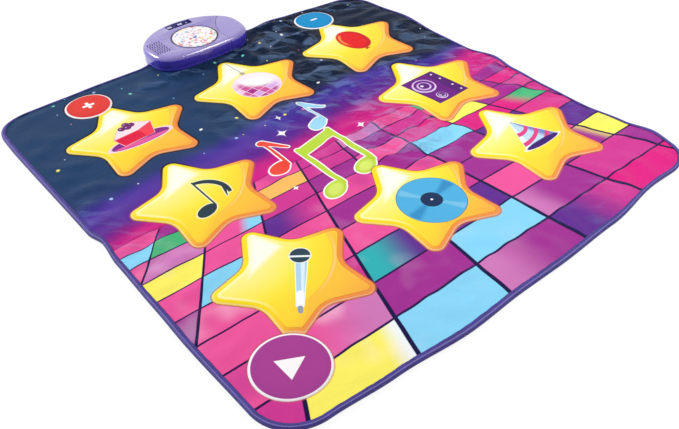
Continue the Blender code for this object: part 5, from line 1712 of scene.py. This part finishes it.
def front_groove():
    """A groove over the rounded front edge, square to it."""
    path = []
    for out, steps in ((NOTCH_DEPTH, range(FILLET_STEPS + 1)), (-2 * PAST, range(FILLET_STEPS, -1, -1))):
        for i in steps:
            t = math.pi / 2 * i / FILLET_STEPS
            radius = CASE_FILLET - out
            inset = CASE_FILLET - radius * math.cos(t)
            z = CASE_TOP - CASE_FILLET + radius * math.sin(t)
            path.append((front_of_case(NOTCH_X, inset), z))
    sides = [[(NOTCH_X + side * NOTCH_WIDTH / 2, CONSOLE_Y + y, z) for y, z in path] for side in (-1, 1)]
    return skin(sides)


top_case = solid("top_shell", case_shell(0.0), case_plastic)
carve(top_case, cover_region(COVER_ARC_RADIUS))
label_centre = on_console(*LABEL_AT)
carve(top_case, drum(LABEL_RADIUS + LABEL_ROOM, CASE_TOP - LABEL_RECESS, CASE_TOP + CASE_WALL,
                     label_centre, 144))
carve(top_case, skin([ring_at(LABEL_RADIUS + reach, CASE_TOP + z, label_centre, 144)
                      for reach, z in RIM_GROOVE], closed=True))
carve(top_case, front_groove())
panel_y = (PANEL_LOW.y + PANEL_HIGH.y) / 2
half_x, half_y = PANEL_SIZE[0] / 2, PANEL_SIZE[1] / 2
carve(top_case, block((-half_x, panel_y - half_y, PANEL_HIGH.z - PANEL_WELL),
                      (half_x, panel_y + half_y, CASE_TOP + CASE_WALL)))
carve(top_case, block((-half_x, panel_y + half_y - PAST, PANEL_HIGH.z),
                      (half_x, CONSOLE_Y + CONSOLE_BACK_REACH + 3 * PAST, CASE_TOP + CASE_WALL)))
punches = grow(put("grille_punches", bpy.data.meshes.new("grille_punches")), grille_tree(), {
    "Columns": GRILLE_COLUMNS, "Rows": GRILLE_ROWS, "Pitch": GRILLE_PITCH, "Stagger": GRILLE_STAGGER,
    "Slot": (*GRILLE_SLOT, 4 * CASE_WALL), "Material": case_plastic})
punch_bm = copied(punches)
grille_x, grille_y = on_console(*GRILLE_AT)
bmesh.ops.translate(punch_bm, vec=(grille_x - GRILLE_STAGGER * GRILLE_PITCH / 2, grille_y, CASE_TOP),
                    verts=punch_bm.verts)
carve(top_case, punch_bm)
tray_floor = CONSOLE_LOW.z + TRAY_FLOOR_RISE
for screw in ("case_screw_1", "case_screw_2", "case_screw_3"):
    centre, tip = middle_of(screw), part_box(screw)[1].z
    post = drum(BOSS_RADIUS, tray_floor + ROOM, CASE_TOP - CASE_WALL + 2 * JOIN, centre, 32)
    carve(top_case, post, "UNION")
    carve(top_case, drum(SCREW_BORE, tray_floor - PAST, tip + TIP_ROOM, centre, 24))
soften(top_case)
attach(top_case, "mat")
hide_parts("console_top_case")

lid = solid("battery_lid", case_shell(COVER_PROUD), case_plastic)
carve(lid, cover_region(COVER_ARC_RADIUS - COVER_GAP), "INTERSECT")
screw_low, screw_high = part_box("cover_screw")
screw_z = (screw_low.z + screw_high.z) / 2


def lying_drum(radius, start, end, z, steps=32):
    """A drum along X on the console's middle line."""
    return skin([[(x, CONSOLE_Y + radius * math.cos(2 * math.pi * i / steps),
                   z + radius * math.sin(2 * math.pi * i / steps)) for i in range(steps)]
                 for x in (start, end)])


post_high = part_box("battery_3")[1].x + ROOM + POST_THICKNESS
carve(lid, lying_drum(SLEEVE_RADIUS, post_high + ROOM, CONSOLE_WIDTH / 2 - CASE_WALL / 2, screw_z), "UNION")
carve(lid, lying_drum(SCREW_BORE, post_high - 2 * PAST, CONSOLE_WIDTH, screw_z))
carve(lid, lying_drum(SCREW_SINK, screw_high.x - SCREW_HEAD_HEIGHT - ROOM, CONSOLE_WIDTH, screw_z))
soften(lid)
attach(lid, "battery_door")
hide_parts("battery_cover")

# Tray
# The lower shell lies on the mat and reaches the floor behind it. It carries the board's posts, the
# battery bay's walls and the lid's screw post, and is moulded in the same violet plastic.
BASE_TUCK = 0.002
TRAY_UNDERSIDE = tray_floor - CASE_WALL
TRAY_RIM = CASE_RIM - ROOM
SKIRT_FRONT = MAT_HIGH.y + ROOM
BOARD_LOW, BOARD_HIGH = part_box("circuit_board")
BOARD_POST_RADIUS, BOARD_POST_INSET = 0.0025, 0.0045
BAY_WALL_THICKNESS, BAY_WALL_HEIGHT = 0.0016, 0.012
WALL_INSET = CASE_DRAFT + CASE_WALL
BEFORE_CONSOLE = CONSOLE_Y - 0.12  # a place well in front of it
# The tray's skin and its hollow from the bottom up: how far inside the console's plan, and how high.
TRAY_SKIN = (
    (BASE_TUCK + 0.0006, 0.0), (BASE_TUCK, 0.0006), (BASE_TUCK, TRAY_UNDERSIDE - 0.001),
    (BASE_TUCK - 0.0008, TRAY_UNDERSIDE + 0.0006), (CASE_DRAFT, TRAY_RIM - 0.0008),
    (CASE_DRAFT, TRAY_RIM))
TRAY_HOLLOW = ((BASE_TUCK + CASE_WALL, tray_floor), (WALL_INSET, TRAY_RIM + 0.0002),
               (WALL_INSET, TRAY_RIM + CASE_WALL))

tray = solid("tray_shell", skin([console_outline(*row) for row in TRAY_SKIN]), case_plastic)
carve(tray, skin([console_outline(*row) for row in TRAY_HOLLOW]))
carve(tray, block((-CONSOLE_WIDTH, BEFORE_CONSOLE, -CASE_WALL),
                  (CONSOLE_WIDTH, SKIRT_FRONT, TRAY_UNDERSIDE)))
hollow = solid("skirt_hollow", skin([
    console_outline(BASE_TUCK + CASE_WALL, z) for z in (-CASE_WALL, TRAY_UNDERSIDE)]))
carve(hollow, block((-CONSOLE_WIDTH, BEFORE_CONSOLE, -2 * CASE_WALL),
                    (CONSOLE_WIDTH, SKIRT_FRONT + CASE_WALL, tray_floor)))
carve(tray, copied(hollow))
board_middle, board_half = (BOARD_LOW + BOARD_HIGH) / 2, (BOARD_HIGH - BOARD_LOW) / 2
for sx, sy in ((-1, -1), (-1, 1), (1, -1), (1, 1)):
    centre = (board_middle.x + sx * (board_half.x - BOARD_POST_INSET),
              board_middle.y + sy * (board_half.y - BOARD_POST_INSET))
    carve(tray, drum(BOARD_POST_RADIUS, tray_floor - JOIN, BOARD_LOW.z - ROOM, centre, 24), "UNION")
for strip, side in (("contact_strip_front", -1), ("contact_strip_back", 1)):
    low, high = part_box(strip)
    beyond = low.y - ROOM if side < 0 else high.y + ROOM
    start, end = sorted((beyond, beyond + side * BAY_WALL_THICKNESS))
    carve(tray, block((low.x - ROOM, start, tray_floor - JOIN),
                      (high.x + ROOM, end, tray_floor + BAY_WALL_HEIGHT)), "UNION")
carve(tray, block((post_high - POST_THICKNESS, CONSOLE_Y - POST_HALF_WIDTH, tray_floor - JOIN),
                  (post_high, CONSOLE_Y + POST_HALF_WIDTH, screw_z + POST_HALF_WIDTH)), "UNION")
carve(tray, lying_drum(SCREW_BORE, post_high - 2 * POST_THICKNESS, post_high + 2 * PAST, screw_z, 24))
for screw in ("case_screw_1", "case_screw_2", "case_screw_3", "clamp_screw_left", "clamp_screw_right"):
    carve(tray, drum(SCREW_BORE, -PAST, tray_floor + PAST / 2, middle_of(screw), 24))
ribbon_slot = SLOTS[2]
carve(tray, block((*ribbon_slot[0], TRAY_UNDERSIDE - 2 * PAST), (*ribbon_slot[2], tray_floor + ROOM)))
soften(tray, width=0.0003)
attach(tray, "mat")
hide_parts("console_bottom_case")

# Label
# A printed film disc, bulged a little, lies in a round recess in the case's top. It is white, with
# confetti round a plain note.
LABEL_DOME, LABEL_CHAMFER = 0.0002, 0.0003
CONFETTI = (ink(240, 214, 80), ink(240, 140, 170), ink(236, 166, 80), ink(130, 180, 226), ink(160, 206, 110),
            ink(190, 140, 206), ink(216, 90, 104))
CONFETTI_SIZES = ((0.015, 0.004, 0.65, 5.0), (0.01, 0.0024, 0.75, 6.0), (0.007, 0.0013, 0.6, 7.0))


def label_print():
    picture = Print("label_confetti", ink(246, 243, 244))
    plan = picture.plan
    for size, radius, chance, seed in CONFETTI_SIZES:
        spots, colours = star_dots(picture, size, radius, CONFETTI, chance, seed)
        picture.lay(spots * 0.9, colours)
    picture.lay(line_of(plan.circle(0.0245), 0.0007, 0.0003) * 0.8, ink(206, 178, 220))
    note = least(plan.about(-0.001, -0.0035, 20.0).oval(0.0052, 0.0036),
                 plan.stroke((0.0036, -0.002), (0.0036, 0.0145), 0.0007, 0.0007),
                 plan.stroke((0.0036, 0.014), (0.01, 0.0085), 0.0012, 0.0006))
    shaded(picture, note, ink(104, 78, 176), ink(252, 250, 246), 0.0012)
    picture.lay(ramp(plan.circle(LABEL_RADIUS), -0.0036, -0.0032), ink(22, 12, 74))
    surface(picture.shader, picture.colour, picture.noise(60.0, 3.0) * 0.12 + 0.24,
            picture.noise(300.0, 2.0) * 0.00002)
    return picture.material


label_low, label_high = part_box("label_disc")
label_rings = ((LABEL_RADIUS, label_low.z), (LABEL_RADIUS, label_high.z - LABEL_CHAMFER),
               (LABEL_RADIUS - LABEL_CHAMFER, label_high.z),
               (LABEL_RADIUS * 0.6, label_high.z + LABEL_DOME * 0.6),
               (LABEL_RADIUS * 0.25, label_high.z + LABEL_DOME))
label = solid("label_film", skin([ring_at(radius, z, label_centre, 144) for radius, z in label_rings]),
              label_print())
store(label, "print_place", "FLOAT_VECTOR",
      [(v.co.x - label_centre[0], v.co.y - label_centre[1], 0.0) for v in label.data.vertices])
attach(label, "mat")
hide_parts("label_disc")

# Switch panel
# A dark blue moulded plate closes the window at the case's back, sunk below its top. Two slide
# knobs with ribbed tops stand in its slots, over the metal bodies of the switches.
MARK_WHITE = ink(232, 232, 245)
KNOB_RIBS = 4
RIB_SHARE = 0.48  # of the pitch from one rib to the next
PLATE_ROOM, PLATE_THICKNESS = 0.0003, 0.0009  # under and in a knob's plate
STEM_HALF = 0.0013

panel_plastic, panel_shader = moulded("panel_plastic", ink(24, 16, 104), ink(16, 10, 84), 0.45)
feed(panel_shader, {"Specular IOR Level": 0.08})
panel_plan = Plan(*parts_of(object_place(panel_plastic.node_tree))[:2]).about(0.0, panel_y)
power_low, power_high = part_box("power_knob")
mode_low, mode_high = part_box("mode_knob")
power_x, mode_x = (power_low.x + power_high.x) / 2, (mode_low.x + mode_high.x) / 2
marks = [panel_plan.about(x, -0.0078).box(0.0005, 0.0013) for x in
         (power_x, power_x + 0.005, mode_x, mode_x + 0.004, mode_x + 0.008)]
marks.append(panel_plan.about(power_x - 0.0065, 0.0).circle(0.0011))
marks.append(panel_plan.about(power_x + 0.0115, 0.0).box(0.0003, 0.0013))
marks += [panel_plan.about(mode_x + 0.0165, y).box(0.0022, 0.0003) for y in (-0.002, 0.0, 0.002)]
painted_over(panel_shader, within(least(*marks), 0.00012), MARK_WHITE)

plate = bmesh.new()
plate.from_mesh(nodes["switch_panel"].data)
bmesh.ops.remove_doubles(plate, verts=plate.verts, dist=0.00001)
bmesh.ops.dissolve_limit(plate, angle_limit=math.radians(1), verts=plate.verts, edges=plate.edges)
panel = solid("switch_plate", plate)
panel.data.materials.clear()
soften(panel, width=0.0003)
panel.data.materials.append(panel_plastic)
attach(panel, "mat")
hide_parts("switch_panel")


def rib_tree():
    """Rounded ribs side by side at a pitch, about the piece's middle."""
    tree, given = geometry_tree("knob_ribs", {
        "Count": "Int", "Pitch": "Float", "Size": "Vector", "Middle": "Vector", "Material": "Material"})
    to_start = vector_of(tree, (given["Count"] - 1) * given["Pitch"] * -0.5)
    start = add_node(tree, "ShaderNodeVectorMath", {0: to_start, 1: given["Middle"]}, operation="ADD")
    row = add_node(tree, "GeometryNodeMeshLine", {
        "Count": given["Count"], "Offset": vector_of(tree, given["Pitch"]),
        "Start Location": start.outputs[0]})
    rib = add_node(tree, "GeometryNodeMeshCube", {
        "Size": given["Size"], "Vertices X": 4, "Vertices Y": 2, "Vertices Z": 4})
    rounded = add_node(tree, "GeometryNodeSubdivisionSurface", {"Mesh": rib.outputs["Mesh"], "Level": 1})
    return end_tree(tree, given, stamped(tree, row.outputs["Mesh"], rounded.outputs["Mesh"]))


knob_plastic, _ = moulded("knob_plastic", ink(104, 92, 176), ink(90, 78, 160), 0.4)
# The ribs are near-white: a painted highlight, standing in for the light caught along their tops.
rib_painted_highlight, _ = moulded("rib_painted_highlight", ink(240, 238, 250), ink(226, 222, 244), 0.35)
rib_nodes = rib_tree()
for name, body in (("power_knob", "power_slider"), ("mode_knob", "mode_slider")):
    low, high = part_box(name)
    centre = (low + high) / 2
    plate_low = PANEL_HIGH.z + PLATE_ROOM
    plate_top = plate_low + PLATE_THICKNESS
    knob = solid(name + "_cap", block((low.x, low.y, plate_low), (high.x, high.y, plate_top)), knob_plastic)
    carve(knob, block((centre.x - STEM_HALF, centre.y - STEM_HALF, low.z),
                      (centre.x + STEM_HALF, centre.y + STEM_HALF, plate_top - JOIN)), "UNION")
    soften(knob, width=0.0002)
    pitch = (high.x - low.x) / KNOB_RIBS
    rib_height = high.z - plate_top + JOIN
    ribs = grow(put(name + "_ribs", bpy.data.meshes.new(name + "_ribs")), rib_nodes, {
        "Count": KNOB_RIBS, "Pitch": pitch,
        "Size": (pitch * RIB_SHARE, high.y - low.y - 2 * ROOM, rib_height),
        "Middle": (centre.x, centre.y, high.z - rib_height / 2), "Material": rib_painted_highlight})
    for piece in (knob, ribs):
        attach(piece, body)
    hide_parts(name)


def metal(name, colour, roughness, stretch=(1.0, 1.0, 1.0)):
    """Bare or plated metal: faint stains, and a grain that may run along one axis."""
    made, shader = new_material(name)
    place = object_place(made.node_tree)
    along = add_node(made.node_tree, "ShaderNodeMapping", {"Vector": place, "Scale": stretch})
    grain, stains = noise_at(along.outputs[0], 900.0, 3.0), noise_at(place, 130.0, 3.0)
    shades = mixed(made.node_tree, ramp(stains, 0.45, 0.75) * 0.5, colour, [0.55 * part for part in colour])
    surface(shader, shades, grain * 0.22 + roughness, grain * 0.00003)
    feed(shader, {"Metallic": 1.0})
    return made


def paint_node(name, material):
    """Gives a carried-over CAD node its finish."""
    mesh = nodes[name].data
    mesh.materials.clear()
    mesh.materials.append(material)


switch_steel = metal("switch_steel", ink(190, 190, 186), 0.22, (1.0, 12.0, 1.0))
for name in ("power_switch_body", "mode_switch_body"):
    paint_node(name, switch_steel)

# Speaker
# A small driver faces up at the grille: a pressed steel basket, a ferrite magnet under it, and a
# black paper cone with a rolled edge and a dust cap, glued in and free to travel.
CONE_RIPPLES = 3
CONE_PROFILE = 40
COIL_RADIUS, DUST_CAP_HEIGHT = 0.00525, 0.0016
CONE_THICKNESS = 0.0003
CONE_TIP, CONE_MARGIN = 0.0006, 0.0006  # the first ring's radius, and the paper's room in its box
ROLL_WIDTH = 0.0014
ROLL_START, ROLL_HEIGHT = 0.85, 0.00025
speaker_steel = metal("speaker_steel", ink(176, 178, 176), 0.3)
ferrite, _ = moulded("magnet_ferrite", ink(58, 58, 60), ink(40, 40, 42), 0.55, 0.00008)
paint_node("speaker_frame", speaker_steel)
paint_node("speaker_magnet", ferrite)
cone_paper = textile("cone_paper", ink(40, 38, 40), 0.0011, 0.00003, 0.9)
cone_low, cone_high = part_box("speaker_cone")
cone_middle = (cone_low + cone_high) / 2
cone_radius = (cone_high.x - cone_low.x) / 2
front, back = [], []
for i in range(CONE_PROFILE + 1):
    s = i / CONE_PROFILE
    radius = CONE_TIP + (cone_radius - CONE_TIP) * s
    slope = max(0.0, (radius - COIL_RADIUS) / (cone_radius - ROLL_WIDTH - COIL_RADIUS))
    cap = DUST_CAP_HEIGHT * math.sqrt(max(0.0, 1 - (radius / COIL_RADIUS) ** 2))
    room = cone_high.z - cone_low.z - 2 * CONE_MARGIN
    height = cone_low.z + CONE_MARGIN + min(1.0, slope) * room + cap
    turn = CONE_RIPPLES * 2 * math.pi * max(0.0, (s - ROLL_START) / (1 - ROLL_START))
    height += ROLL_HEIGHT * math.sin(turn)
    front.append((radius, height))
    back.append((radius, height - CONE_THICKNESS))
cone_skin = skin([ring_at(radius, z, cone_middle, 48) for radius, z in front + back[::-1]])
cone = solid("speaker_diaphragm", cone_skin, cone_paper)
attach(cone, "cone")
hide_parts("speaker_cone")

# Circuit board
# A green laminate on four posts carries the sound chip under a drop of black resin, a capacitor and
# the white connector that takes the mat's ribbon.
board_laminate, board_shader = moulded("board_laminate", ink(36, 112, 60), ink(26, 92, 48), 0.35)
board_tree = board_laminate.node_tree
tracks = add_node(board_tree, "ShaderNodeTexBrick", {
    "Vector": object_place(board_tree), "Scale": 95.0, "Mortar Size": 0.05,
    "Color1": (0.0, 0.0, 0.0), "Color2": (0.0, 0.0, 0.0), "Mortar": (1.0, 1.0, 1.0)})
painted_over(board_shader, Field(tracks.outputs["Color"]), ink(84, 150, 84))
chip_resin, _ = moulded("chip_resin", ink(26, 26, 28), ink(16, 16, 18), 0.22, 0.00006)
can_sleeve, _ = moulded("capacitor_sleeve", ink(40, 44, 84), ink(30, 34, 70), 0.3)
connector_nylon, _ = moulded("connector_nylon", ink(236, 232, 218), ink(222, 216, 200), 0.45)
for name, material in (("circuit_board", board_laminate), ("sound_chip", chip_resin),
                       ("capacitor", can_sleeve), ("ribbon_connector", connector_nylon),
                       ("ribbon_tail", track_film("ribbon_tracks"))):
    paint_node(name, material)

# Battery bay
# Three AA cells lie head to tail between two contact strips, each pressed by a coil spring, and
# come out at the right end once the lid is off.
strip_steel = metal("contact_steel", ink(206, 204, 196), 0.2, (10.0, 1.0, 1.0))
cell_sleeve, cell_shader = moulded("cell_sleeve", ink(54, 56, 66), ink(40, 42, 52), 0.26)
cell_low, cell_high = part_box("battery_1")
from_middle = abs(parts_of(object_place(cell_sleeve.node_tree))[1] - (cell_low.y + cell_high.y) / 2)
band = ramp(from_middle, 0.0148, 0.0152) * ramp(from_middle, 0.023, 0.0226)
painted_over(cell_shader, band, ink(176, 150, 92))
feed(cell_shader, {"Metallic": ramp(from_middle, 0.0238, 0.0242)})
for number in (1, 2, 3):
    paint_node(f"battery_{number}", cell_sleeve)
    paint_node(f"battery_spring_{number}", strip_steel)
for name in ("contact_strip_front", "contact_strip_back"):
    paint_node(name, strip_steel)

# Screws and clamp
# Pan-head self-tapping steel screws with cross recesses hold the shells, the lid and the tray. The
# tray's two bite in the bosses of a plastic plate that is let into the mat's underside.
THREAD_PITCH = 0.0011
THREAD_DEPTH = 0.00025
SCREW_TIP = 0.0014
BARE_SHANK = 0.0024  # the length of a shank's two ends, which carry no thread
RECESS_WIDTH, RECESS_LENGTH, RECESS_DEPTH = 0.0007, 0.0031, 0.0009
screw_steel = metal("screw_steel", ink(188, 188, 184), 0.24)


def screw_tree():
    """Thread rings down a shank along Z, from the head's underside at the origin."""
    tree, given = geometry_tree("screw_thread", {
        "Threads": "Int", "Pitch": "Float", "Core": "Float", "Depth": "Float", "Material": "Material"})
    down = vector_of(tree, 0.0, 0.0, given["Pitch"] * -1.0)
    row = add_node(tree, "GeometryNodeMeshLine", {
        "Count": given["Threads"], "Offset": down, "Start Location": down})
    crest = given["Core"] + given["Depth"]
    upper, lower = (add_node(tree, "GeometryNodeMeshCone", {
        "Vertices": 20, "Radius Top": top, "Radius Bottom": bottom, "Depth": given["Depth"]},
        fill_type="NGON") for top, bottom in ((given["Core"], crest), (crest, given["Core"])))
    below = add_node(tree, "GeometryNodeTransform", {
        "Geometry": lower.outputs["Mesh"], "Translation": vector_of(tree, 0.0, 0.0, given["Depth"] * -1.0)})
    ridge = joined(tree, upper.outputs["Mesh"], below.outputs["Geometry"])
    thread = stamped(tree, row.outputs["Mesh"], ridge)
    return end_tree(tree, given, joined(tree, given["Geometry"], thread))


screw_nodes = screw_tree()


def make_screw(name, length, at, turn):
    """One screw with its head up, then turned and put in its place."""
    wide, tall = SCREW_HEAD_RADIUS, SCREW_HEAD_HEIGHT
    rings = ((SCREW_CORE * 0.4, -length), (SCREW_CORE, -length + SCREW_TIP), (SCREW_CORE, 0.0),
             (wide - 0.0001, 0.0), (wide, 0.0002), (wide, tall * 0.45), (wide * 0.88, tall * 0.78),
             (wide * 0.6, tall))
    made = solid(name + "_steel", skin([ring_at(r, z, (0, 0), 32) for r, z in rings]), screw_steel)
    for x, y in ((RECESS_WIDTH, RECESS_LENGTH), (RECESS_LENGTH, RECESS_WIDTH)):
        carve(made, block((-x / 2, -y / 2, tall - RECESS_DEPTH), (x / 2, y / 2, tall + PAST)))
    grow(made, screw_nodes, {
        "Threads": int((length - BARE_SHANK) / THREAD_PITCH), "Pitch": THREAD_PITCH,
        "Core": SCREW_CORE * 0.98, "Depth": THREAD_DEPTH, "Material": screw_steel})
    made.data.transform(Matrix.Translation(at) @ turn)
    made.data.shade_smooth()
    made.data.set_sharp_from_angle(angle=math.radians(35))
    return made


SCREWS = {"case_screw_1": "mat", "case_screw_2": "mat", "case_screw_3": "mat",
          "clamp_screw_left": "mat", "clamp_screw_right": "mat", "cover_screw": "battery_door"}
for name, body in SCREWS.items():
    low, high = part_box(name)
    at, length = (low + high) / 2, high.z - low.z - SCREW_HEAD_HEIGHT
    if name == "cover_screw":
        length, turn = high.x - low.x - SCREW_HEAD_HEIGHT, Matrix.Rotation(math.pi / 2, 4, "Y")
        at.x = high.x - SCREW_HEAD_HEIGHT
    elif name.startswith("case"):
        turn = Matrix.Rotation(math.pi, 4, "X")
        at.z = low.z + SCREW_HEAD_HEIGHT
    else:
        turn = Matrix.Identity(4)
        at.z = high.z - SCREW_HEAD_HEIGHT
    fastener = make_screw(name, length, at, turn)
    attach(fastener, body)
    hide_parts(name)

clamp_plastic, _ = moulded("clamp_plastic", ink(74, 62, 150), ink(64, 52, 138), 0.45, 0.00006)
paint_node("clamp_plate", clamp_plastic)

# Contacts
# Under every pad lies a disc of carbon ink, printed on film. It closes the switch when the pad
# comes down on it.
carbon = textile("carbon_ink", ink(40, 40, 42), 0.0013, 0.00003, 0.6)
for pad_name in PADS:
    paint_node("contact_" + pad_name, carbon)
